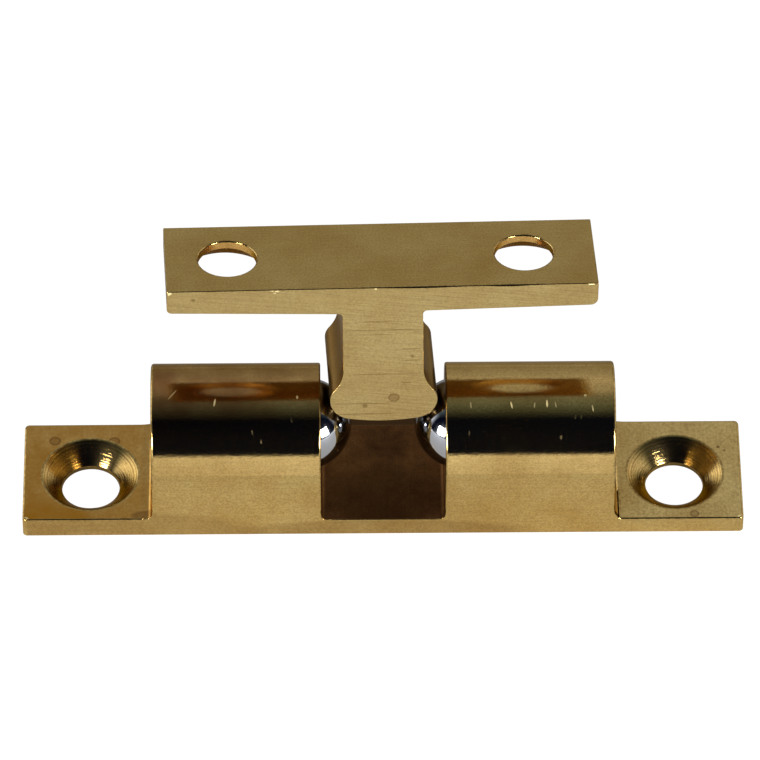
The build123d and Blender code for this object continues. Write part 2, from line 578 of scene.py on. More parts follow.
    def film_share(self, tree: Tree, own: Socket, tarnish: Socket) -> Socket:
        """How strong the brown tint is: it grows along the piece, away from its front face.

        Args:
            tree: The material's tree.
            own: The face's own coordinates.
            tarnish: Noise that makes it uneven.

        Returns:
            The socket of its share.
        """
        split = add_node(tree, "SeparateXYZ", {0: own})
        share = tarnish
        for axis, reach, most in (
            ("X", self.film_reach, self.film_gain),
            ("Y", self.film_depth, 1.0),
        ):
            clean, full = (place * MM for place in reach)
            inputs = {"Value": split[axis], "From Min": clean, "From Max": full, "To Max": most}
            inputs = {0: share, 1: add_node(tree, "MapRange", inputs)[0]}
            share = add_node(tree, "Math", inputs, operation="MULTIPLY", use_clamp=True)[0]
        return share

    def tone(self, tree: Tree, tarnish: Socket, grain: Socket, lines: Socket) -> Socket:
        """The metal's colour: bright to tarnished, then browned by the mottle and the tool marks.

        Args:
            tree: The material's tree.
            tarnish: Noise that says how tarnished each place is.
            grain: Noise of the mottle.
            lines: Height of the tool marks.

        Returns:
            The colour's socket.
        """
        ends = (self.tarnish_start, self.tarnish_end)
        tarnish_range = tuple(place - shift * self.tarnish_level for place, shift in ends)
        colour: Feed = linear(self.bright)
        for source, (first, last), most, tint in (
            (tarnish, tarnish_range, 1.0, self.tarnished),
            (grain, self.grain_range, self.grain_tone, self.brown),
            (lines, self.mark_range, self.mark_tone, self.brown),
        ):
            inputs = {"Value": source, "From Min": first, "From Max": last, "To Max": most}
            share = add_node(tree, "MapRange", inputs)[0]
            colour = add_node(tree, "Mix", {0: share, 6: colour, 7: linear(tint)}, **MIX)[2]
        return colour

    def tool_marks(self, tree: Tree, own: Socket) -> Socket:
        """Height of the tool marks: noise drawn out along the lay, or rings round the holes.

        Args:
            tree: The material's tree.
            own: The face's own coordinates.

        Returns:
            The socket of the marks' height, from 0 to 1.
        """
        spacing = 1 / (self.mark_spacing * MM)
        if self.lay is Lay.RINGS:
            rings = {"W": self.hole_distance(tree, own), "Scale": spacing}
            rings |= {"Detail": self.mark_detail, "Roughness": self.ring_roughness}
            return add_node(tree, "TexNoise", rings, noise_dimensions="1D")["Fac"]
        scale = [spacing * (1 / self.mark_stretch if along else 1.0) for along in self.lay.value]
        slant = {"Vector": own, "Rotation": (0.0, radians(self.slant), 0.0)}
        stretch = {0: add_node(tree, "Mapping", slant)[0], 1: scale}
        drawn_out = add_node(tree, "VectorMath", stretch, operation="MULTIPLY")[0]
        marks = {"Vector": drawn_out, "Scale": 1.0}
        marks |= {"Detail": self.mark_detail, "Roughness": self.line_roughness}
        return add_node(tree, "TexNoise", marks)["Fac"]

    def hole_distance(self, tree: Tree, own: Socket) -> Socket:
        """Distance from the nearer screw hole's axis, which stands at plus or minus the offset.

        Args:
            tree: The material's tree.
            own: The face's own coordinates.

        Returns:
            The socket of the distance, in metres.
        """
        split = add_node(tree, "SeparateXYZ", {0: own})
        folded = add_node(tree, "Math", {0: split["X"]}, operation="ABSOLUTE")[0]
        offset = {0: folded, 1: self.hole_offset * MM}
        away = add_node(tree, "Math", offset, operation="SUBTRACT")[0]
        flat = add_node(tree, "CombineXYZ", {"X": away, "Y": split["Y"], "Z": 0.0})[0]
        return add_node(tree, "VectorMath", {0: flat}, operation="LENGTH")["Value"]


@dataclass(frozen=True)
class SteelFinish:
    """Ground steel: a neutral mirror on the balls, greyer and softer on the spring wire."""

    name: str
    colour: str = "#9A9CA2"
    roughness: float = 0.05
    haze_gain: float = 2.2
    haze_range: Pair = (0.35, 0.75)
    haze_detail: float = 4.0
    haze_roughness: float = 0.7
    scratch_size: float = 0.4

    def material(self) -> Material:
        """Builds the material.

        Returns:
            A procedural material on Object coordinates.
        """
        material, tree = new_material(self.name)
        own = add_node(tree, "TexCoord")["Object"]
        inputs = {"Vector": own, "Scale": 1 / (self.scratch_size * MM)}
        inputs |= {"Detail": self.haze_detail, "Roughness": self.haze_roughness}
        haze = {"Value": add_node(tree, "TexNoise", inputs)["Fac"]}
        haze |= {"From Min": self.haze_range[0], "From Max": self.haze_range[1]}
        haze |= {"To Min": self.roughness, "To Max": self.roughness * self.haze_gain}
        look = {"Base Color": linear(self.colour), "Metallic": 1.0}
        look |= {"Roughness": add_node(tree, "MapRange", haze)[0]}
        shader = add_node(tree, "BsdfPrincipled", look)["BSDF"]
        add_node(tree, "OutputMaterial", {"Surface": shader})
        return material


# Pieces


@dataclass
class CatchBody:
    """The catch body: a D-section bar milled to two ears, two barrels and a gap floor.

    Sizes are in millimetres, in the frame of the CAD model: X along the bar, Z off its mounting
    face, and the origin at the middle of that face. The shares are of the widest edge break. An
    edge lies on a face within touch of it, and clear of it past margin.
    """

    half_gap: float = 4.3
    barrel_length: float = 11.7
    ear_length: float = 9.0
    width: float = 9.0
    height: float = 10.5
    ear_thickness: float = 1.7
    gap_floor: float = 1.45
    root_radius: float = 0.4
    corner_radius: float = 0.3
    hole_from_end: float = 4.65
    hole_shift: float = -0.25
    hole_radius: float = 2.0
    countersink_radius: float = 3.35
    hollow: float = 0.28
    bore_height: float = 6.45
    bore_radius: float = 3.225
    ball_x: float = 5.345
    tapped_radius: float = 3.49
    tapped_from: float = 11.6
    thread_run_in: float = 0.225
    mouth_chamfer: float = 0.2
    thread_pitch: float = 0.75
    thread_depth: float = 0.2
    ear_drop: Pair = (0.06, 0.3)
    edge_break: float = 0.18
    plain_share: float = 0.35
    ear_share: float = 0.6
    ear_end_share: float = 0.85
    arch_shares: Pair = (0.7, 1.0)
    arch_fade: Pair = (3.5, 6.0)
    crisp_share: float = 0.08
    root_slant: Pair = (0.05, 0.998)
    cross_steps: int = 56
    side_steps: int = 12
    arch_steps: int = 72
    corner_steps: int = 6
    root_steps: int = 8
    cone_steps: int = 10
    length_steps: int = 10
    ring_steps: int = 4
    seat_steps: int = 8
    rows_in_turn: int = 12
    touch: float = 0.01
    margin: float = 1.0
    shell: Shell = field(default_factory=Shell)

    def __post_init__(self) -> None:
        """Works out the places that follow from the sizes."""
        self.half_width = self.width / 2
        self.arch_height = self.height - self.half_width
        self.barrel_end = self.half_gap + self.barrel_length
        self.half_length = self.barrel_end + self.ear_length
        self.hole_x = self.half_length - self.hole_from_end
        self.root_end = self.barrel_end + self.root_radius
        self.corner_start = self.half_length - self.corner_radius
        self.ear_foot = self.ear_thickness + self.root_radius
        self.gap_foot = self.gap_floor + self.root_radius
        self.cross = np.linspace(-self.half_width, self.half_width, self.cross_steps + 1)

    def make(self, materials: list[Material]) -> bpy.types.Object:
        """Builds the body.

        Args:
            materials: One for each BodyFace, in its order.

        Returns:
            The body, with its sharp edges broken.
        """
        for side in Side:
            self.add_ear(side)
            self.add_barrel(side)
            outer = self.root_curve(self.barrel_end, self.ear_thickness, 1)
            self.shell.add_grid(self.across(side, outer), BodyFace.EAR)
            self.shell.add_grid(self.across(side, self.gap_curve()), BodyFace.GAP)
        self.add_flats()
        self.shell.points = [self.settled(points) for points in self.shell.points]
        piece = self.shell.build("catch_body_brass", materials, BodyFace.BORE)
        break_edges(piece, self.edge_break, BodyFace.EDGE, self.edge_shares)
        return piece

    def edge_shares(self, middle: np.ndarray, along: np.ndarray) -> np.ndarray:
        """How far each edge is broken: most at the arches' ends, least in the root radii.

        Args:
            middle: Middle of each edge.
            along: Direction of each edge.

        Returns:
            Each edge's share of the widest rounding.
        """
        away, depth, height = np.abs(middle[:, 0]), middle[:, 1], middle[:, 2]
        slant = np.abs(along[:, 0])
        share = np.full(len(middle), self.plain_share)
        ear_start = self.barrel_end + 0.5 * self.root_radius
        ear = (away > ear_start) & (height > 0.5 * self.ear_thickness)
        share[ear] = self.ear_share
        share[ear & (away > self.half_length - self.touch)] = self.ear_end_share
        low, high = self.arch_fade
        widest = np.where(away > self.half_gap + self.margin, *self.arch_shares[::-1])
        rise = np.clip((height - low) / (high - low), 0.0, 1.0)
        arch = (height > self.ear_foot) & (slant < 0.5)
        share[arch] = (self.plain_share + (widest - self.plain_share) * rise)[arch]
        least, most = self.root_slant
        root = (height < self.ear_foot) & (slant > least) & (slant < most)
        side = self.half_width - self.touch
        crisp = root & (np.abs(depth) > side) | (away < self.half_gap) & (depth > side)
        share[crisp & (height > self.margin)] = self.crisp_share
        return share

    def settled(self, points: np.ndarray) -> np.ndarray:
        """Lowers the front of each ear's top, which was milled a little out of level.

        Each height is cut by the drop, times its share of the ear's thickness, times the way from
        the back edge to the front, fading in across the root radius.

        Args:
            points: Any points of the body.

        Returns:
            The same points, settled.
        """
        x, y, z = points.T
        drop = np.where(x < 0, *self.ear_drop)
        reach = np.clip((np.abs(x) - self.barrel_end) / self.root_radius, 0.0, 1.0)
        cut = drop * reach * z / self.ear_thickness * (self.half_width - y) / self.width
        return joined(x, y, z - cut)

    def at_height(self, side: Side, flat: np.ndarray, height: float) -> np.ndarray:
        """Lifts points of the XY plane to a height, on one side of the catch."""
        return joined(side.value * flat[..., 0], flat[..., 1], height)

    def on_face(self, side: Side, x: float, flat: np.ndarray) -> np.ndarray:
        """Stands points of the YZ plane at a distance along the catch, on one side of it."""
        return joined(side.value * x, flat[..., 0], flat[..., 1])

    def across(self, side: Side, section: np.ndarray) -> np.ndarray:
        """Carries a curve of the XZ plane across the whole width of the bar."""
        return joined(side.value * section[:, :1], self.cross, section[:, 1:])

    def ear_outline(self) -> np.ndarray:
        """The ear's closed outline seen from above.

        Returns:
            Points in X and Y, from the ear's root round its free end and back.
        """
        root, straight, half = self.root_end, self.corner_start, self.half_width
        inset, end = half - self.corner_radius, self.half_length
        return chain(
            line((root, -half), (root, half), self.cross_steps),
            line((root, half), (straight, half), self.cross_steps),
            arc((straight, inset), self.corner_radius, 90, -90, self.corner_steps),
            line((end, inset), (end, -inset), self.cross_steps),
            arc((straight, -inset), self.corner_radius, 0, -90, self.corner_steps),
            line((straight, -half), (root, -half), self.cross_steps),
        )

    def add_ear(self, side: Side) -> None:
        """Adds one ear: flat rings round its countersunk hole, above and below, and its end wall.

        Args:
            side: Which ear.
        """
        outline = self.ear_outline()
        centre = (self.hole_x, self.hole_shift)
        angle = directions(outline, centre)
        rim = circle_at(angle, centre, self.countersink_radius)
        hole = circle_at(angle, centre, self.hole_radius)
        land = self.ear_thickness - (self.countersink_radius - self.hole_radius)
        top_rim = self.at_height(side, rim, self.ear_thickness)
        land_rim = self.at_height(side, hole, land)
        bottom_rim = self.at_height(side, hole, 0.0)
        top_edge = self.at_height(side, outline, self.ear_thickness)
        bottom_edge = self.at_height(side, outline, 0.0)
        cone = self.dished(ruled(top_rim, land_rim, self.cone_steps))
        wall_start = 2 * self.cross_steps
        wall = slice(wall_start, wall_start + self.cross_steps + 2 * self.corner_steps + 1)
        for grid, face in (
            (ruled(top_edge, top_rim, self.ring_steps), BodyFace.EAR),
            (cone, BodyFace.COUNTERSINK),
            (ruled(land_rim, bottom_rim, 2), BodyFace.COUNTERSINK),
            (ruled(bottom_rim, bottom_edge, self.ring_steps), BodyFace.FLAT),
            (ruled(bottom_edge[wall], top_edge[wall], 2), BodyFace.END),
        ):
            self.shell.add_grid(grid, face)

    def dished(self, cone: np.ndarray) -> np.ndarray:
        """Hollows a countersink less steeply at its rim, as its worn cutter did.

        The drop at a share s of the way down is the cone's whole drop times (1 - h) s + h s^2,
        where h is the hollow.

        Args:
            cone: Rows of a straight cone, from its rim down to the land.

        Returns:
            The same rows with their new heights.
        """
        share = np.linspace(0.0, 1.0, len(cone))[:, None]
        drop = cone[0, 0, 2] - cone[-1, 0, 2]
        hollow = cone.copy()
        hollow[..., 2] = cone[0, 0, 2] - drop * ((1 - self.hollow) * share + self.hollow * share**2)
        return hollow

    def face_outline(self, foot: float) -> np.ndarray:
        """The closed D-shaped outline of a barrel's end face, from its foot line upwards.

        Args:
            foot: Height at which the root radius meets the face.

        Returns:
            Points in Y and Z, anticlockwise seen along -X.
        """
        half, top = self.half_width, self.arch_height
        return chain(
            line((-half, foot), (half, foot), self.cross_steps),
            line((half, foot), (half, top), self.side_steps),
            arc((0.0, top), half, 0, 180, self.arch_steps),
            line((-half, top), (-half, foot), self.side_steps),
        )

    def add_barrel(self, side: Side) -> None:
        """Adds one barrel: its arch, its two end faces and the bore through it.

        Args:
            side: Which barrel.
        """
        centre = (0.0, self.bore_height)
        arch = arc((0.0, self.arch_height), self.half_width, 0, 180, self.arch_steps)
        ends = [self.on_face(side, x, arch) for x in (self.half_gap, self.barrel_end)]
        self.shell.add_grid(ruled(*ends, self.length_steps), BodyFace.ARCH)
        mouth = sqrt(self.bore_radius**2 - (self.ball_x - self.half_gap) ** 2)
        angles = []
        for x, foot, radius in (
            (self.half_gap, self.gap_foot, mouth),
            (self.barrel_end, self.ear_foot, self.tapped_radius + self.mouth_chamfer),
        ):
            outline = self.face_outline(foot)
            angles.append(directions(outline, centre))
            circle = circle_at(angles[-1], centre, radius)
            edges = [self.on_face(side, x, curve) for curve in (outline, circle)]
            self.shell.add_grid(ruled(*edges, 1), BodyFace.END)

        # The bore's rows turn evenly from the outer face's angles to the inner face's.
        inner_angle, outer_angle = angles
        travel, radius, threaded = self.bore_profile()
        share = ((self.barrel_end - travel) / self.barrel_length)[:, None]
        angle = outer_angle + (inner_angle - outer_angle) * share
        cut = thread_cut(travel[:, None], side.value * angle, self.thread_pitch)
        radii = radius[:, None] + self.thread_depth * threaded[:, None] * cut
        circles = circle_at(angle, centre, radii)
        bore = joined(side.value * travel[:, None], circles[..., 0], circles[..., 1])
        self.shell.add_grid(bore, BodyFace.BORE)

    def bore_profile(self) -> tuple[np.ndarray, np.ndarray, np.ndarray]:
        """The bore's section from its tapped mouth to the rounded seat at the gap.

        The thread fades in and out over a third of its pitch. The seat is part of a sphere round
        the ball's centre, so its radius is the bore's times the cosine of the turn from there.

        Returns:
            The distance from the middle of the catch, the radius, and the share of the thread's
            full depth, at each point of the section.
        """
        start = self.barrel_end - self.mouth_chamfer
        end = self.tapped_from
        rows = round((start - end) / self.thread_pitch * self.rows_in_turn)
        tapped = np.linspace(start, end, rows + 1)
        fade = np.minimum(start - tapped, tapped - end) / (self.thread_pitch / 3)
        seat_turn = asin((self.ball_x - self.half_gap) / self.bore_radius)
        seat = np.linspace(0.0, seat_turn, self.seat_steps + 1)
        seat_x = self.ball_x - self.bore_radius * np.sin(seat)
        travel = np.concatenate([[self.barrel_end], tapped, [end - self.thread_run_in], seat_x])
        threads = np.full(tapped.shape, self.tapped_radius)
        mouth = self.tapped_radius + self.mouth_chamfer
        radius = [[mouth], threads, [self.bore_radius], self.bore_radius * np.cos(seat)]
        threaded = np.zeros(travel.shape)
        threaded[1 : 1 + len(tapped)] = np.clip(fade, 0.0, 1.0)
        return travel, np.concatenate(radius), threaded

    def root_curve(self, wall: float, floor: float, outward: int) -> np.ndarray:
        """The quarter circle that the cutter left between a barrel's end face and a floor.

        Args:
            wall: Distance of the end face from the middle of the catch.
            floor: Height of the milled floor.
            outward: 1 where the floor lies outside the face, -1 where it lies inside.

        Returns:
            Points in X and Z, from the face down to the floor.
        """
        centre = (wall + outward * self.root_radius, floor + self.root_radius)
        return arc(centre, self.root_radius, 90 + 90 * outward, 90 * outward, self.root_steps)

    def gap_curve(self) -> np.ndarray:
        """Half of the gap's section.

        Returns:
            Points in X and Z, from a barrel's root down and along the floor to the middle.
        """
        floor_start = (self.half_gap - self.root_radius, self.gap_floor)
        floor = line(floor_start, (0.0, self.gap_floor), self.ring_steps)
        return chain(self.root_curve(self.half_gap, self.gap_floor, -1), floor)

    def half_section(self) -> np.ndarray:
        """The right half of the bar's outline seen from the front.

        Returns:
            Points in X and Z, from the mounting face round the ear and over to the gap's floor.
        """
        root, straight, ear = self.root_end, self.corner_start, self.ear_thickness
        outer, inner, top = self.barrel_end, self.half_gap, self.arch_height
        return chain(
            line((root, 0.0), (straight, 0.0), self.cross_steps),
            line((straight, 0.0), (straight, ear), 2),
            line((straight, ear), (root, ear), self.cross_steps),
            self.root_curve(outer, ear, 1)[::-1],
            line((outer, self.ear_foot), (outer, top), self.side_steps),
            line((outer, top), (inner, top), self.length_steps),
            line((inner, top), (inner, self.gap_foot), self.side_steps),
            self.gap_curve(),
        )

    def add_flats(self) -> None:
        """Adds the front and back faces and the middle of the mounting face."""
        right = self.half_section()
        left = right[::-1] * (-1.0, 1.0)
        loop = np.concatenate([right, left[1:]])
        for depth in (-self.half_width, self.half_width):
            self.shell.add_cap(joined(loop[:, 0], depth, loop[:, 1]), BodyFace.FLAT)
        middle = self.across(Side.RIGHT, line((-self.root_end, 0.0), (self.root_end, 0.0), 1))
        self.shell.add_grid(middle, BodyFace.FLAT)


@dataclass
class Striker:
    """The striker: a T-section with a waisted stem and rounded nose, resting on the balls.

    Sizes are in millimetres in the striker's own frame: along its plate, across its depth to the
    back, and up, with the origin at the centre of the plate's top face. Of a pair, the first is
    the left side's. The shares are of the widest edge break.
    """

    length: float = 29.4
    depth: float = 7.4
    plate_thickness: float = 1.84
    root_thickness: Pair = (2.2, 2.04)
    plate_root_radius: float = 0.3
    plate_edge_radius: Pair = (0.33, 0.5)
    stem_lean: float = 1.4
    neck_width: float = 5.5
    stem_shift: float = 0.2
    nose_half: float = 3.7
    nose_widest: float = 9.627
    flare_radius: float = 2.8
    shoulder_radius: float = 1.3
    corner_radius: float = 1.6
    crown_radius: float = 14.0
    hole_radius: float = 2.0
    countersink_radius: float = 3.35
    hole_from_end: float = 4.55
    hole_shift: float = -0.3
    origin: Triple = (-0.1746, 3.7135, 19.1855)
    along: Triple = (0.998904, 0.041866, -0.020942)
    across: Triple = (-0.044633, 0.986685, -0.1564)
    up: Triple = (0.014116, 0.157163, 0.987472)
    edge_break: float = 0.16
    lower_share: float = 0.15
    top_share: float = 0.35
    rim_share: float = 0.8
    front_share: float = 0.45
    worn_share: float = 0.55
    worn_places: tuple[Pair, Pair] = ((2.8, 1.8), (8.7, 1.3))
    corner_share: float = 0.3
    corner_fade: Pair = (-1.2, -0.4)
    corner_rise: float = 0.9
    rim_margin: float = 0.1
    cross_steps: int = 48
    plate_steps: int = 90
    end_steps: int = 8
    cone_steps: int = 8
    ring_steps: int = 4
    top_steps: int = 6
    root_steps: int = 8
    neck_steps: int = 12
    flare_steps: int = 18
    shoulder_steps: int = 12
    corner_steps: int = 24
    crown_steps: int = 8
    touch: float = 0.01
    shell: Shell = field(default_factory=Shell)

    def __post_init__(self) -> None:
        """Works out the places that follow from the sizes.

        The flare and the shoulder bend opposite ways and touch, so each turns by the angle whose
        cosine is 1 less their sideways step over the sum of their radii. The crown touches the
        nose's corners from outside, so it turns by the angle whose sine is the corners' distance
        from the middle over the difference of the radii.
        """
        self.half_length = self.length / 2
        self.half_depth = self.depth / 2
        self.neck_half = self.neck_width / 2
        self.hole_x = self.half_length - self.hole_from_end
        reach = self.flare_radius + self.shoulder_radius
        self.flare_turn = acos(1 - (self.nose_half - self.neck_half) / reach)
        self.neck_end = self.nose_widest - reach * sin(self.flare_turn)
        self.corner_x = self.nose_half - self.corner_radius
        inner_radius = self.crown_radius - self.corner_radius
        self.crown_turn = asin(self.corner_x / inner_radius)
        self.crown_centre = -self.nose_widest + inner_radius * cos(self.crown_turn)
        self.cross = np.linspace(-self.half_depth, self.half_depth, self.cross_steps + 1)
        self.axes = np.array([self.along, self.across, self.up])

    def turn(self) -> Triple:
        """The striker's lean as angles about X, Y and Z, for patterns that follow it."""
        return tuple(Matrix((self.along, self.across, self.up)).transposed().to_euler("XYZ"))

    def placed(self, points: np.ndarray) -> np.ndarray:
        """Moves points from the striker's own frame to the catch's frame."""
        return np.array(self.origin) + points @ self.axes

    def make(self, materials: list[Material]) -> bpy.types.Object:
        """Builds the striker.

        Args:
            materials: One for each StrikerFace, in its order.

        Returns:
            The striker, with its sharp edges broken.
        """
        for side in Side:
            self.add_plate_end(side)
            self.add_strip(self.stem_section(side), StrikerFace.STEM)
        roots = [(self.root_x(side), 0.0) for side in Side]
        self.add_strip(line(*roots, self.top_steps), StrikerFace.PLATE)
        top = line(*roots[::-1], self.top_steps)
        left, right = (self.half_outline(side) for side in Side)
        loop = chain(top, left, right[::-1])[:-1]
        for depth in (-self.half_depth, self.half_depth):
            cap = self.placed(joined(loop[:, 0], depth, loop[:, 1]))
            self.shell.add_cap(cap, StrikerFace.SAWN)
        piece = self.shell.build("striker_brass", materials)
        break_edges(piece, self.edge_break, StrikerFace.EDGE, self.edge_shares)
        return piece

    def edge_shares(self, middle: np.ndarray, along: np.ndarray) -> np.ndarray:
        """How far each edge is broken: unevenly along the top's front edge, and crisp below.

        The front edge's share has a bell curve for each worn place, from its middle and width.

        Args:
            middle: Middle of each edge.
            along: Direction of each edge.

        Returns:
            Each edge's share of the widest rounding.
        """
        x, depth, height = self.axes @ (middle - np.array(self.origin)).T
        top = height > -self.touch
        share = np.where(top, self.top_share, self.lower_share)
        front = top & (depth < self.touch - self.half_depth)
        worn = sum(np.exp(-(((x - place) / width) ** 2)) for place, width in self.worn_places)
        share[front] = (self.front_share + self.worn_share * worn)[front]
        from_hole = np.hypot(np.abs(x - self.hole_shift) - self.hole_x, depth)
        share[top & (from_hole < self.hole_radius + self.rim_margin)] = self.rim_share
        corner = np.abs(along @ self.axes[2]) > self.corner_rise
        corner &= np.abs(x) > self.half_length - self.touch
        low, high = self.corner_fade
        rise = np.clip((height - low) / (high - low), 0.0, 1.0)
        share[corner] = (self.lower_share + self.corner_share * rise)[corner]
        return share

    def leaned(self, x: float | np.ndarray, height: float | np.ndarray) -> float | np.ndarray:
        """Moves a point of the stem sideways with its lean, which starts above the nose."""
        return x - np.tan(radians(self.stem_lean)) * np.maximum(height + self.nose_widest, 0.0)

    def of_side(self, pair: Pair, side: Side) -> float:
        """Picks one of a pair of sizes, of which the first is the left side's."""
        return pair[0] if side is Side.LEFT else pair[1]

    def root_x(self, side: Side) -> float:
        """Where the plate's underside ends and the root radius beside the neck begins."""
        upright = self.stem_shift + side.value * (self.neck_half + self.plate_root_radius)
        return float(self.leaned(upright, -self.of_side(self.root_thickness, side)))

    def underside(self, side: Side, x: float | np.ndarray) -> float | np.ndarray:
        """Height of the plate's underside, which slopes evenly from its end down to the stem.

        Args:
            side: Which half of the plate.
            x: Places along the plate.

        Returns:
            The height at each place, below the top face.
        """
        root = abs(self.root_x(side))
        share = (self.half_length - np.abs(x)) / (self.half_length - root)
        extra = self.of_side(self.root_thickness, side) - self.plate_thickness
        return -self.plate_thickness - extra * share

    def straight_end(self, side: Side) -> float:
        """How far the plate's underside runs before its lower edge radius begins."""
        return self.half_length - self.of_side(self.plate_edge_radius, side)

    def at_height(self, flat: np.ndarray, height: float | np.ndarray) -> np.ndarray:
        """Lifts points of the plate's plane to a height, in the catch's frame."""
        return self.placed(joined(flat[..., 0], flat[..., 1], height))

    def add_strip(self, section: np.ndarray, finish: int) -> None:
        """Carries a curve of the striker's section across its whole depth."""
        grid = joined(section[:, :1], self.cross, section[:, 1:])
        self.shell.add_grid(self.placed(grid), finish)

    def panel(self, side: Side, end: float) -> np.ndarray:
        """The closed outline of one half of the plate seen from above.

        Args:
            side: Which half.
            end: Distance of the outline's free end from the middle of the plate.

        Returns:
            Points along and across, from the stem round the free end and back.
        """
        root, far, half = self.root_x(side), side.value * end, self.half_depth
        return chain(
            line((root, -half), (root, half), self.cross_steps),
            line((root, half), (far, half), self.plate_steps),
            line((far, half), (far, -half), self.cross_steps),
            line((far, -half), (root, -half), self.plate_steps),
        )

    def add_plate_end(self, side: Side) -> None:
        """Adds one half of the plate: rings round its hole above and below, and its end.

        Args:
            side: Which half.
        """
        centre = (self.hole_shift + side.value * self.hole_x, 0.0)
        top = self.panel(side, self.half_length)
        under = self.panel(side, self.straight_end(side))
        top_hole = circle_at(directions(top, centre), centre, self.hole_radius)
        under_angle = directions(under, centre)
        land = self.underside(side, centre[0]) + self.countersink_radius - self.hole_radius
        top_rim = self.at_height(top_hole, 0.0)
        land_rim = self.at_height(circle_at(under_angle, centre, self.hole_radius), land)
        rim = circle_at(under_angle, centre, self.countersink_radius)
        under_rim = self.at_height(rim, self.underside(side, rim[:, 0]))
        under_edge = self.at_height(under, self.underside(side, under[:, 0]))
        for grid, face in (
            (ruled(self.at_height(top, 0.0), top_rim, self.ring_steps), StrikerFace.PLATE),
            (ruled(top_rim, land_rim, 2), StrikerFace.COUNTERSINK),
            (ruled(land_rim, under_rim, self.cone_steps), StrikerFace.COUNTERSINK),
            (ruled(under_rim, under_edge, self.ring_steps), StrikerFace.UNDERSIDE),
        ):
            self.shell.add_grid(grid, face)
        self.add_strip(self.end_section(side), StrikerFace.PLATE)

    def end_section(self, side: Side) -> np.ndarray:
        """The section of the plate's free end.

        Args:
            side: Which end.

        Returns:
            Points along and up, from the top edge to the end of the lower edge radius.
        """
        sign, radius = side.value, self.of_side(self.plate_edge_radius, side)
        end = sign * self.half_length
        centre = (end - sign * radius, self.underside(side, self.straight_end(side)) + radius)
        upright = line((end, 0.0), (end, centre[1]), self.end_steps)
        return chain(upright, arc(centre, radius, 90 - 90 * sign, -90 * sign, self.end_steps))

    def stem_section(self, side: Side) -> np.ndarray:
        """One side of the stem: root radius, neck, flare, shoulder, nose corner and half crown.

        Args:
            side: Which side.

        Returns:
            Points along and up, from the plate's underside to the middle of the nose.
        """
        sign, shift = side.value, self.stem_shift
        flare, crown = degrees(self.flare_turn), degrees(self.crown_turn)
        facing = 90 - 90 * sign
        neck_x = shift + sign * self.neck_half
        root_x = neck_x + sign * self.plate_root_radius
        root_y = -self.of_side(self.root_thickness, side) - self.plate_root_radius
        flare_centre = (shift + sign * (self.neck_half + self.flare_radius), -self.neck_end)
        shoulder_x = shift + sign * (self.nose_half - self.shoulder_radius)
        shoulder_centre = (shoulder_x, -self.nose_widest)
        corner_centre = (shift + sign * self.corner_x, -self.nose_widest)
        crown_centre = (shift, self.crown_centre)
        turned = facing + sign * flare
        root, *lower = (
            arc(centre, radius, start, sign * turn, steps)
            for centre, radius, start, turn, steps in (
                ((root_x, root_y), self.plate_root_radius, 90, 90, self.root_steps),
                (flare_centre, self.flare_radius, 180 - facing, flare, self.flare_steps),
                (shoulder_centre, self.shoulder_radius, turned, -flare, self.shoulder_steps),
                (corner_centre, self.corner_radius, facing, crown - 90, self.corner_steps),
                (crown_centre, self.crown_radius, sign * crown - 90, -crown, self.crown_steps),
            )
        )
        neck = line((neck_x, root_y), (neck_x, -self.neck_end), self.neck_steps)
        upright = chain(root, neck, *lower)
        return joined(self.leaned(upright[:, 0], upright[:, 1]), upright[:, 1])

    def half_outline(self, side: Side) -> np.ndarray:
        """Half of the T outline.

        Args:
            side: Which half.

        Returns:
            Points along and up, from the top over the stem round the plate's end to the nose.
        """
        root, straight = self.root_x(side), side.value * self.straight_end(side)
        under_ends = [(x, self.underside(side, x)) for x in (straight, root)]
        return chain(
            line((root, 0.0), (side.value * self.half_length, 0.0), self.plate_steps),
            self.end_section(side),
            line(*under_ends, self.plate_steps),
            self.stem_section(side),
        )


@dataclass
class Ball:
    """A steel ball in its barrel. Its centre comes from its CAD node."""

    side: Side
    radius: float = 3.175
    turns: int = 128
    rows: int = 64

    def make(self, material: Material) -> bpy.types.Object:
        """Builds the ball: the centre plus the radius along each direction of the sphere.

        Args:
            material: The ball's finish.

        Returns:
            The ball, with its poles on the bore's axis.
        """
        low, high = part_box(f"ball_{self.side.label}")
        centre = np.array((low + high) / 2) / MM
        tilt = np.linspace(0.0, pi, self.rows + 1)[:, None]
        turn = np.linspace(0.0, 2 * pi, self.turns + 1)
        normal = joined(np.cos(tilt), np.sin(tilt) * np.cos(turn), np.sin(tilt) * np.sin(turn))
        shell = Shell()
        shell.add_grid(centre + self.radius * normal)
        return shell.build(f"ball_steel_{self.side.label}", [material])


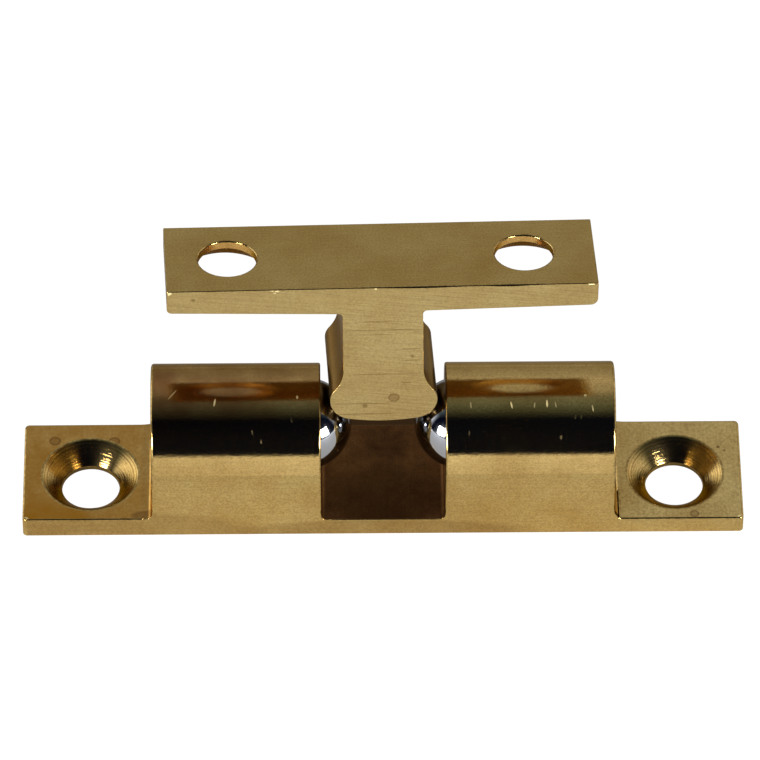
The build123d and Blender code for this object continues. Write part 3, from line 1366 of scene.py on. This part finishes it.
@dataclass
class CoilSpring:
    """A compression spring behind a ball, with a closed and ground coil at each end."""

    side: Side
    start: float = 7.816
    length: float = 4.554
    wire: float = 0.5
    coil_radius: float = 2.275
    bore_height: float = 6.45
    active_coils: float = 3.0
    closed_pitch: float = 0.53
    ground_share: float = 0.42
    turn_steps: int = 48
    wire_steps: int = 16
    travel: float = 1.8

    def make(self, material: Material) -> bpy.types.Object:
        """Builds the spring: a wire's circle carried along a helix and ground flat at both ends.

        The helix's centre moves along X by the closed pitch in its first and last turns, and
        evenly between them. Points past the ground planes are brought back to them.

        Args:
            material: The wire's finish.

        Returns:
            The spring.
        """
        sign, wire_radius = self.side.value, self.wire / 2
        ground = wire_radius - self.ground_share * self.wire
        coils = self.active_coils + 2
        turns = np.linspace(0.0, coils, round(coils * self.turn_steps) + 1)
        active = self.length - 2 * ground - 2 * self.closed_pitch
        knots = [0.0, 1.0, 1.0 + self.active_coils, coils]
        heights = np.cumsum([ground, self.closed_pitch, active, self.closed_pitch])
        travel = np.interp(turns, knots, heights)[:, None]
        angle = 2 * pi * turns[:, None]
        around = np.linspace(0.0, 2 * pi, self.wire_steps + 1)
        radius = self.coil_radius + wire_radius * np.cos(around)
        x = self.start + np.clip(travel + wire_radius * np.sin(around), 0.0, self.length)
        z = self.bore_height + radius * np.sin(sign * angle)
        coil = joined(sign * x, radius * np.cos(angle), z)
        shell = Shell()
        shell.add_grid(coil)
        shell.add_cap(coil[0, :-1])
        shell.add_cap(coil[-1, :-1])
        return shell.build(f"spring_wire_{self.side.label}", [material])

    def flatten(self, piece: bpy.types.Object) -> None:
        """Gives the spring its own copy of its mesh.

        Args:
            piece: The spring.
        """
        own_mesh(piece)


@dataclass
class AdjustingScrew:
    """A slotted grub screw in a barrel's outer end, threaded over its whole length."""

    side: Side
    slot_angle: float
    inner_x: float = 12.4
    length: float = 3.2
    radius: float = 3.45
    bore_height: float = 6.45
    slot_width: float = 1.0
    slot_depth: float = 1.3
    chamfer: float = 0.35
    thread_pitch: float = 0.75
    thread_depth: float = 0.22
    arc_steps: int = 64
    slot_steps: int = 8
    chamfer_rows: int = 8
    whole_rows: int = 36
    slotted_rows: int = 22
    settling_rounds: int = 8

    def radius_at(self, travel: np.ndarray, angle: np.ndarray) -> np.ndarray:
        """The screw's radius: its crest less the thread's cut, inside a chamfer at each end.

        Args:
            travel: Distance from the inner end.
            angle: Angle round the axis, in radians.

        Returns:
            The radius at each point.
        """
        cut = thread_cut(travel, angle, self.thread_pitch)
        from_end = np.minimum(travel, self.length - travel)
        cone = self.radius - self.chamfer + from_end
        return np.minimum(self.radius - self.thread_depth * cut, cone)

    def slot_corner(self, travel: np.ndarray, corner: int) -> np.ndarray:
        """The angle at which the screw's surface meets one wall of its slot.

        The wall stands half the slot's width from the axis, so the sine of the angle off the slot
        is that over the radius, which changes with the angle and is settled by repeating.

        Args:
            travel: Distances from the inner end.
            corner: Which crossing, from 0 to 4 anticlockwise, where 4 is 0 after a whole turn.

        Returns:
            The angle at each distance, in radians.
        """
        base = pi * ((corner + 1) // 2)
        sign = 1 if corner % 2 == 0 else -1
        angle = np.full(travel.shape, base)
        for _ in range(self.settling_rounds):
            angle = base + sign * np.arcsin(self.slot_width / 2 / self.radius_at(travel, angle))
        return angle

    def wall(self, travel: np.ndarray, corner: int, steps: int) -> np.ndarray:
        """The threaded surface from one crossing with the slot's walls to the next.

        Args:
            travel: Distances from the inner end, one for each row.
            corner: The crossing that it starts from.
            steps: Number of steps round the arc.

        Returns:
            The grid of points.
        """
        first = self.slot_corner(travel, corner)[:, None]
        last = self.slot_corner(travel, corner + 1)[:, None]
        angle = first + (last - first) * np.linspace(0.0, 1.0, steps + 1)
        radius = self.radius_at(travel[:, None], angle)
        turned = angle + radians(self.slot_angle)
        x = self.side.value * (self.inner_x + travel[:, None])
        y = self.side.value * radius * np.cos(turned)
        return joined(x, y, self.bore_height + radius * np.sin(turned))

    def make(self, material: Material) -> bpy.types.Object:
        """Builds the screw: its thread, its ends, and the slot's walls and floor.

        Args:
            material: The screw's finish.

        Returns:
            The screw.
        """
        floor, shoulder = self.length - self.slot_depth, self.length - self.chamfer
        runs = (
            (0.0, self.chamfer, self.chamfer_rows),
            (self.chamfer, floor, self.whole_rows),
            (floor, shoulder, self.slotted_rows),
            (shoulder, self.length, self.chamfer_rows),
        )
        rows = [np.linspace(first, last, count) for first, last, count in runs]
        below = chain(*rows[:2])
        halves = [self.wall(chain(*rows), corner, self.arc_steps) for corner in (0, 2)]
        gaps = [self.wall(below, corner, self.slot_steps) for corner in (1, 3)]
        shell = Shell()
        for grid in (*halves, *gaps):
            shell.add_grid(grid)
        rim = [grid[0, :-1] for grid in (halves[0], gaps[0], halves[1], gaps[1])]
        shell.add_cap(np.concatenate(rim))
        shell.add_cap(np.concatenate([gap[-1] for gap in gaps]))
        for half in halves:
            shell.add_cap(half[-1])
            edge = half[len(below) - 1 :]
            shell.add_grid(ruled(edge[:, 0], edge[:, -1], 1))
        return shell.build(f"adjusting_screw_brass_{self.side.label}", [material])


# Studio


@dataclass(frozen=True)
class Viewpoint:
    """The photograph's viewing angle, with the camera looking at a target on the object.

    Angles are in degrees, the target and the sensor in millimetres, and distances in metres.
    """

    azimuth: float = -0.768
    elevation: float = 46.342
    roll: float = 0.193
    distance: float = 0.5
    target: Triple = (-0.199, 0.0, 10.735)
    focal_length: float = 344.33
    sensor: float = 36.0
    nearest: float = 0.01

    def make(self) -> None:
        """Builds the camera and makes it the scene's."""
        side, rise, roll = radians(self.azimuth), radians(self.elevation), radians(self.roll)
        back = Vector((sin(side) * cos(rise), -cos(side) * cos(rise), sin(rise)))
        level = Vector((0.0, 0.0, 1.0)).cross(back).normalized()
        upright = back.cross(level)
        right = level * cos(roll) + upright * sin(roll)
        top = upright * cos(roll) - level * sin(roll)
        data = bpy.data.cameras.new("camera")
        data.lens = self.focal_length
        data.sensor_width = self.sensor
        data.clip_start = self.nearest
        camera = bpy.data.objects.new("camera", data)
        rotation = Matrix((right, top, back)).transposed().to_4x4()
        place = Vector(self.target) * MM + back * self.distance
        camera.matrix_world = Matrix.Translation(place) @ rotation
        bpy.context.scene.collection.objects.link(camera)
        bpy.context.scene.camera = camera


@dataclass(frozen=True)
class Studio:
    """A white sheet on a table in a dim room, with a white card light at either front corner.

    Lengths are in metres. Each reach says where a ramp is 0 and where it is 1: across from the
    middle, and twice along Y. The room's tones stand at shares of half a turn, from the front
    over the top to the back, and each glow is a side and a strength. The camera sees the sheet as
    plain white by the share seen_white, and mirrors see it so by mirrored_white.
    """

    floor_half_width: float = 1.2
    floor_front: float = -0.093
    floor_back: float = 1.6
    floor_colour: str = "#E8E8E6"
    floor_roughness: float = 0.9
    floor_gloss: float = 0.1
    # Painted shade: the paper turns greyer behind the catch, where its shadow falls.
    back_colour: str = "#8A8884"
    back_reaches: tuple[Pair, ...] = ((0.032, 0.02), (0.002, 0.012), (0.2, 0.06))
    white: float = 1.1
    seen_white: float = 0.92
    mirrored_white: float = 0.1
    shade_colour: str = "#4C361E"
    shade_at_gap: tuple[Pair, ...] = ((0.0068, 0.0031), (0.004, 0.0044), (0.0092, 0.0066))
    shade_along: tuple[Pair, ...] = ((0.0249, 0.021), (0.004, 0.0044), (0.006, 0.0048))
    card_direction: Triple = (0.72, -0.67, 0.2)
    card_distance: float = 0.36
    card_size: Pair = (0.12, 0.12)
    card_power: float = 2.7
    room: tuple[tuple[float, str], ...] = (
        (0.0, "#090F26"),
        (0.34, "#0A1026"),
        (0.38, "#3C4242"),
        (0.43, "#5C6866"),
        (0.49, "#7C8886"),
        (0.55, "#868C88"),
        (0.62, "#BDBDBA"),
        (0.76, "#D6D5D2"),
        (0.84, "#BEBDBA"),
        (1.0, "#A8A6A2"),
    )
    glows: tuple[Pair, ...] = ((-1.0, 2.5), (1.0, 1.3))
    glow_reaches: tuple[Pair, ...] = ((0.5, 0.72), (-0.25, 0.05), (0.6, 0.35))

    def make(self) -> None:
        """Builds the floor, the lights and the world."""
        self.make_floor()
        for side in Side:
            self.make_card(side)
        self.make_world()
        bpy.context.scene.view_settings.view_transform = "Standard"

    def make_floor(self) -> None:
        """Builds the sheet under the object.

        To the eye it is plain white paper, without gloss, that keeps the object's faint shadow.
        Mirrors see it a little whiter than it is. A soft dark shade is painted along the catch's
        back, and it is deeper behind the gap. Behind the catch the paper is painted greyer, as
        painted shade where the object's shadow falls.
        """
        half, front, back = self.floor_half_width, self.floor_front, self.floor_back
        corners = [(-half, front, 0.0), (half, front, 0.0), (half, back, 0.0), (-half, back, 0.0)]
        mesh = bpy.data.meshes.new("floor")
        mesh.from_pydata(corners, [], [(0, 1, 2, 3)])
        floor = bpy.data.objects.new("floor", mesh)
        bpy.context.scene.collection.objects.link(floor)
        material, tree = new_material("white_paper")
        split = add_node(tree, "SeparateXYZ", {0: add_node(tree, "TexCoord")["Object"]})
        aside = add_node(tree, "Math", {0: split["X"]}, operation="ABSOLUTE")[0]
        behind, at_gap, along = (
            self.within(tree, (aside, split["Y"], split["Y"]), reaches)
            for reaches in (self.back_reaches, self.shade_at_gap, self.shade_along)
        )
        shade = add_node(tree, "Math", {0: at_gap, 1: along}, operation="MAXIMUM")[0]
        paper: Feed = linear(self.floor_colour)
        # Painted shade: greyer paper behind the catch, and dark along its back and behind the gap.
        for amount, colour in ((behind, self.back_colour), (shade, self.shade_colour)):
            paper = add_node(tree, "Mix", {0: amount, 6: paper, 7: linear(colour)}, **MIX)[2]
        look = {"Base Color": paper, "Roughness": self.floor_roughness}
        look |= {"Specular IOR Level": self.floor_gloss}
        lit = add_node(tree, "BsdfPrincipled", look)["BSDF"]
        white = add_node(tree, "Emission", {"Color": WHITE, "Strength": self.white})[0]
        rays = add_node(tree, "LightPath")
        share: Feed = 0.0
        for ray, weight in (
            ("Is Camera Ray", self.seen_white),
            ("Is Glossy Ray", self.mirrored_white),
            ("Is Transmission Ray", self.mirrored_white),
        ):
            inputs = {0: rays[ray], 1: weight, 2: share}
            share = add_node(tree, "Math", inputs, operation="MULTIPLY_ADD")[0]
        inputs = {0: share, 1: shade}
        open_share = add_node(tree, "Math", inputs, operation="SUBTRACT", use_clamp=True)[0]
        mixed = add_node(tree, "MixShader", {0: open_share, 1: lit, 2: white})[0]
        add_node(tree, "OutputMaterial", {"Surface": mixed})
        mesh.materials.append(material)

    def within(self, tree: Tree, sources: tuple[Socket, ...], reaches: tuple[Pair, ...]) -> Socket:
        """The share of a place that lies within some limits: the product of a ramp for each.

        Args:
            tree: The material's or world's tree.
            sources: A distance for each limit.
            reaches: Where each one's ramp is 0 and where it is 1.

        Returns:
            The socket of the share.
        """
        share: Feed = 1.0
        for source, (none, full) in zip(sources, reaches):
            inputs = {"Value": source, "From Min": none, "From Max": full}
            inputs = {0: add_node(tree, "MapRange", inputs)[0], 1: share}
            share = add_node(tree, "Math", inputs, operation="MULTIPLY")[0]
        return share

    def make_card(self, side: Side) -> None:
        """Builds one card light, standing on the table and facing the object.

        Args:
            side: Which front corner it stands at.
        """
        data = bpy.data.lights.new(f"card_light_{side.label}", "AREA")
        data.shape = "RECTANGLE"
        data.size, data.size_y = self.card_size
        data.energy = self.card_power
        card = bpy.data.objects.new(data.name, data)
        x, y, z = self.card_direction
        place = Vector((side.value * x, y, z)).normalized() * self.card_distance
        card.location = place
        card.rotation_euler = place.to_track_quat("Z", "Y").to_euler()
        bpy.context.scene.collection.objects.link(card)

    def make_world(self) -> None:
        """Builds the room: dark in front, pale behind, a glow at either side, white to the camera.

        The angle up from the front, round over the top to the back, is the arctangent of the
        direction's height over its way to the front, and its share of half a turn gives the tone.
        """
        world = bpy.data.worlds.new("studio")
        world.use_nodes = True
        bpy.context.scene.world = world
        tree = world.node_tree
        tree.nodes.clear()
        split = add_node(tree, "SeparateXYZ", {0: add_node(tree, "TexCoord")["Generated"]})
        front = add_node(tree, "Math", {0: split["Y"], 1: -1.0}, operation="MULTIPLY")[0]
        angle = add_node(tree, "Math", {0: split["Z"], 1: front}, operation="ARCTAN2")[0]
        share = add_node(tree, "Math", {0: angle, 1: pi}, operation="DIVIDE")[0]
        tone = add_node(tree, "ValToRGB", {"Fac": share})["Color"]
        elements = tone.node.color_ramp.elements
        while len(elements) < len(self.room):
            elements.new(0.5)
        for element, (place, colour) in zip(elements, self.room):
            element.position = place
            element.color = linear(colour)
        for way, strength in self.glows:
            aside = tuple(way * place for place in self.glow_reaches[0])
            sources = tuple(split[axis] for axis in "XYZ")
            glow = self.within(tree, sources, (aside, *self.glow_reaches[1:]))
            tone = add_node(tree, "Mix", {0: glow, 6: tone, 7: [strength] * 3 + [1.0]}, **MIX)[2]
        seen = add_node(tree, "LightPath")["Is Camera Ray"]
        room, white = (
            add_node(tree, "Background", {"Color": colour, "Strength": 1.0})[0]
            for colour in (tone, WHITE)
        )
        mixed = add_node(tree, "MixShader", {0: seen, 1: room, 2: white})[0]
        add_node(tree, "OutputWorld", {"Surface": mixed})


@dataclass(frozen=True)
class BrassSet:
    """The finishes of the two pieces machined from brass bar, one for each kind of face.

    The marks stand where the photograph shows them. An arch's cut is its place, its half width
    and half length, its tilt and turn in degrees, and its strength. A saw line is its place along
    the striker and up, its half length and its strength.
    """

    body_stains: tuple[Mark, ...] = (
        Mark(MarkKind.DROP, (-22.86, 2.92, 1.7), (0.45, 0.45, 0.6), strength=0.75),
        Mark(MarkKind.DROP, (-18.72, 2.85, 1.7), (0.45, 0.45, 0.6), strength=0.75),
        Mark(MarkKind.DROP, (21.59, -4.1, 1.7), (0.43, 0.43, 0.6), strength=0.65),
        Mark(MarkKind.STAIN, (23.47, 2.04, 1.7), (0.15, 0.15, 0.3), strength=0.7),
        Mark(MarkKind.STAIN, (23.9, 1.7, 1.7), (0.1, 0.1, 0.3), strength=0.6),
        Mark(MarkKind.NICK, (16.0, -4.4, 1.6), (0.4, 0.35, 0.4), strength=0.95),
        Mark(MarkKind.CUT, (24.8, -4.4, 1.4), (0.25, 0.2, 0.2), strength=1.0),
        Mark(MarkKind.CUT, (-24.8, -4.4, 1.65), (0.25, 0.2, 0.15), strength=0.7),
        # Painted shade: darker along the left root radius, the crease between ear and barrel.
        Mark(MarkKind.STAIN, (-16.2, 0.0, 1.85), (0.75, 7.0, 0.7), strength=0.15),
        # Painted shadow: darker at the front end of the left root radius.
        Mark(MarkKind.STAIN, (-16.5, -4.2, 1.8), (1.2, 0.6, 0.4), strength=0.5),
    )
    arch_cuts: tuple[tuple[float, ...], ...] = (
        (6.02, -1.83, 10.11, 0.06, 0.3, 0.0, 8.0, 0.7),
        (8.82, -1.85, 10.1, 0.06, 0.34, 0.0, 14.0, 1.0),
        (10.4, -1.86, 10.1, 0.055, 0.26, 0.0, -6.0, 0.7),
        (11.26, -1.76, 10.14, 0.08, 0.36, 0.0, 2.0, 1.0),
        (11.85, -1.85, 10.1, 0.05, 0.24, 0.0, 10.0, 0.7),
        (14.4, -2.1, 9.98, 0.06, 0.3, 0.0, 12.0, 0.8),
        (13.9, -1.2, 10.33, 0.12, 0.1, 0.0, 0.0, 0.8),
        (-11.58, -1.56, 10.22, 0.07, 0.36, 0.0, -10.0, 0.9),
        (-5.9, -1.2, 10.33, 0.08, 0.16, 0.0, 0.0, 0.8),
        (-14.5, -0.97, 10.4, 0.05, 0.6, 0.0, -38.0, 0.6),
        (-9.0, -3.3, 9.06, 0.05, 0.2, -45.0, 10.0, 0.35),
        (-8.4, -3.7, 8.56, 0.06, 0.12, -55.0, 0.0, 0.35),
        (-6.3, -2.7, 9.6, 0.05, 0.2, -37.0, 15.0, 0.3),
        (13.2, -2.6, 9.67, 0.05, 0.22, -35.0, -12.0, 0.3),
        (13.6, -2.6, 9.67, 0.05, 0.2, -35.0, -12.0, 0.3),
        (5.9, -3.4, 8.95, 0.06, 0.26, -49.0, 0.0, 0.3),
        (12.2, -3.6, 8.7, 0.1, 0.07, -53.0, 0.0, 0.35),
    )
    cut_reach: float = 0.2
    foot_stains: tuple[Mark, ...] = (
        # Painted shade: the front face darker at its foot, left and middle, for the shaded table it
        # mirrors.
        Mark(MarkKind.STAIN, (-19.0, -4.5, 0.4), (11.0, 2.0, 2.2), strength=0.25),
        Mark(MarkKind.STAIN, (0.0, -4.5, 0.2), (11.0, 2.0, 1.4), strength=0.3),
    )
    saw_lines: tuple[tuple[float, float, float, float], ...] = (
        (-0.6, -2.9, 1.25, 0.45),
        (0.1, -3.62, 2.5, 0.4),
        (-0.7, -4.0, 1.6, 0.3),
        (2.0, -5.27, 0.65, 0.55),
        (2.0, -6.25, 0.65, 0.4),
        (0.0, -7.4, 2.2, 0.35),
        (1.7, -8.15, 0.35, 0.5),
        (-1.3, -9.9, 2.1, 0.5),
        (-1.1, -10.8, 1.9, 0.5),
    )
    saw_front: float = -3.7
    saw_size: Triple = (1.2, 0.3, 0.045)
    nose_stains: tuple[Mark, ...] = (
        Mark(MarkKind.DROP, (0.89, -3.7, -9.43), (0.43, 0.6, 0.4), strength=0.7),
        Mark(MarkKind.STAIN, (-1.1, -3.7, -10.08), (0.2, 0.2, 0.2), strength=0.5),
        Mark(MarkKind.STAIN, (-12.9, -3.7, -0.75), (0.16, 0.2, 0.14), strength=0.5),
        Mark(MarkKind.STAIN, (2.1, -3.7, -5.9), (0.14, 0.2, 0.12), strength=0.5),
        Mark(MarkKind.CUT, (-7.52, -3.7, -0.06), (0.13, 0.2, 0.11), strength=0.6),
        Mark(MarkKind.CUT, (-7.2, -3.7, -0.12), (0.16, 0.2, 0.1), strength=0.6),
        Mark(MarkKind.CUT, (-7.36, -3.7, -0.3), (0.1, 0.2, 0.09), strength=0.45),
        Mark(MarkKind.CUT, (-0.5, -3.7, 0.0), (0.12, 0.25, 0.2), strength=0.8),
        Mark(MarkKind.CUT, (-14.6, -3.65, -0.1), (0.3, 0.2, 0.25), strength=0.7),
        # Painted highlight: a pale spot where the plate's front right corner glints.
        Mark(MarkKind.CUT, (14.2, -3.65, -0.02), (0.3, 0.25, 0.16), strength=1.0),
    )

    def body(self) -> list[Material]:
        """Builds the body's finishes.

        Returns:
            One for each BodyFace, in its order.
        """
        cuts = tuple(
            Mark(MarkKind.CUT, (x, y, z), (wide, long, self.cut_reach), (tilt, 0.0, turn), strength)
            for x, y, z, wide, long, tilt, turn, strength in self.arch_cuts
        )
        finishes = {
            # Drawn bar: an even warm yellow with a satin gloss and fine lines along it.
            # The front face's foot is darkened by painted shade.
            BodyFace.FLAT: BrassFinish(
                "drawn_brass", roughness=0.2, tarnish_level=0.45, marks=self.foot_stains
            ),
            # Drawn and handled: a mirror that bands the room, hazed by fine specks, brown at left.
            BodyFace.ARCH: BrassFinish(
                "drawn_brass_arch",
                bright="#D6B878",
                roughness=0.1,
                mark_height=0.0012,
                grain_height=0.006,
                speckle=0.06,
                tarnish_level=0.45,
                film="#7E5836",
                film_reach=(4.0, -12.0),
                film_depth=(-4.1, -2.2),
                marks=cuts,
            ),
            # Face-milled: pale and flat, with a coarse mottle across it, browner at left.
            BodyFace.EAR: BrassFinish(
                "milled_brass_ear",
                lay=Lay.CROSSWISE,
                bright="#DCC484",
                grain_size=0.2,
                film="#98691F",
                film_reach=(20.0, -30.0),
                marks=self.body_stains,
            ),
            # Countersunk: turned rings that break the light into thin bright and dark arcs.
            BodyFace.COUNTERSINK: BrassFinish(
                "countersunk_brass",
                lay=Lay.RINGS,
                roughness=0.16,
                mark_spacing=0.09,
                mark_height=0.011,
                mark_tone=0.55,
                grazing="#C8A46A",
                centre=(0.0, -0.25, 0.0),
                hole_offset=20.35,
            ),
            # Milled, with painted shade for the dark gap: a dull dark brown with a loose mottle.
            BodyFace.GAP: BrassFinish(
                "milled_brass_gap",
                lay=Lay.CROSSWISE,
                roughness=0.42,
                bright="#75522F",
                tarnished="#331B12",
                brown="#22110A",
                tarnish_size=2.8,
            ),
            # End-milled: a satin yellow with fine lines across it.
            BodyFace.END: BrassFinish("milled_brass_end", lay=Lay.CROSSWISE, roughness=0.2),
            # Bored and tapped: softer and browner, with lines round the bore.
            BodyFace.BORE: BrassFinish(
                "bored_brass", lay=Lay.AROUND, roughness=0.3, tarnish_level=0.7
            ),
            # Deburred by hand: uneven facets that glint here and there.
            BodyFace.EDGE: BrassFinish(
                "broken_brass_edge", grain_size=0.25, grain_height=0.015, grain_tone=0.6
            ),
        }
        return [finishes[face].material() for face in BodyFace]

    def striker(self, striker: Striker) -> list[Material]:
        """Builds the striker's finishes, turned with its lean.

        Args:
            striker: The striker that they go on.

        Returns:
            One for each StrikerFace, in its order.
        """
        stretch, deep, thin = self.saw_size
        lines = tuple(
            Mark(
                MarkKind.STAIN,
                (x, self.saw_front, height),
                (reach * stretch, deep, thin),
                strength=strength,
            )
            for x, height, reach, strength in self.saw_lines
        )
        own = {"turn": striker.turn(), "centre": striker.origin}
        finishes = {
            # Drawn bar, wiped clean: a pale even yellow that mirrors the room softly.
            StrikerFace.PLATE: BrassFinish(
                "drawn_striker_brass", bright="#C8B072", tarnished="#AC8A4A", **own
            ),
            # Drawn and never polished: a duller orange that the barrels mirror as a warm band.
            StrikerFace.UNDERSIDE: BrassFinish(
                "drawn_striker_underside",
                roughness=0.32,
                bright="#DAB26C",
                tarnished="#B88646",
                **own,
            ),
            # Drawn hollow of the section: satin, and brown with tarnish and painted shade.
            StrikerFace.STEM: BrassFinish(
                "drawn_stem_brass",
                roughness=0.3,
                bright="#A08452",
                tarnished="#7C5F34",
                tarnish_level=0.6,
                grazing="#DCD0C0",
                **own,
            ),
            # Sawn end: a matt straw yellow with slanting saw lines.
            StrikerFace.SAWN: BrassFinish(
                "sawn_striker_brass",
                bright="#BCA771",
                tarnished="#A08450",
                slant=-7.0,
                mark_spacing=0.1,
                mark_stretch=60.0,
                mark_height=0.002,
                mark_tone=0.3,
                grain_tone=0.26,
                roughness=0.2,
                marks=lines + self.nose_stains,
                **own,
            ),
            # Drilled: rings round the holes with a soft orange gloss.
            StrikerFace.COUNTERSINK: BrassFinish(
                "drilled_striker_brass",
                lay=Lay.RINGS,
                bright="#D2AC68",
                tarnished="#B08446",
                roughness=0.3,
                mark_height=0.003,
                hole_offset=10.15,
                grazing="#B08C54",
                **own,
            ),
            # Deburred by hand: uneven facets that glint here and there.
            StrikerFace.EDGE: BrassFinish(
                "broken_striker_edge", grain_size=0.25, grain_height=0.012, grain_tone=0.6, **own
            ),
        }
        return [finishes[face].material() for face in StrikerFace]


def dress(piece: bpy.types.Object, body: str, node: str) -> None:
    """Puts a piece on the body that it rides on, and hides the CAD node that it stands for.

    Args:
        piece: The piece.
        body: The body's name.
        node: The node's name.
    """
    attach(piece, body)
    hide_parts(node)


def main() -> None:
    """Builds the pieces in order around the frame, then the studio."""
    logging.basicConfig(level=logging.INFO, format="%(name)s: %(message)s")
    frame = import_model()

    brass = BrassSet()
    body = CatchBody().make(brass.body())
    dress(body, "catch", "catch_body")
    striker = Striker()
    dress(striker.make(brass.striker(striker)), "striker", "striker")

    # Ground and lapped: a neutral mirror. Drawn wire: a grey satin. Turned: yellow with fine lines
    # round it.
    chrome = SteelFinish("chrome_steel_ball").material()
    wire = SteelFinish("spring_steel_wire", colour="#8E8A82", roughness=0.3).material()
    turned = BrassFinish("turned_screw_brass", lay=Lay.AROUND, roughness=0.22).material()
    for side, slot_angle in ((Side.LEFT, 62.0), (Side.RIGHT, -24.0)):
        name = side.label
        dress(Ball(side).make(chrome), f"{name}_ball", f"ball_{name}")
        spring = CoilSpring(side)
        coil = spring.make(wire)
        dress(coil, "catch", f"spring_{name}")
        spring.flatten(coil)
        screw = AdjustingScrew(side, slot_angle).make(turned)
        dress(screw, f"{name}_screw", f"adjusting_screw_{name}")

    Studio().make()
    Viewpoint().make()


if __name__ == "__main__":
    main()
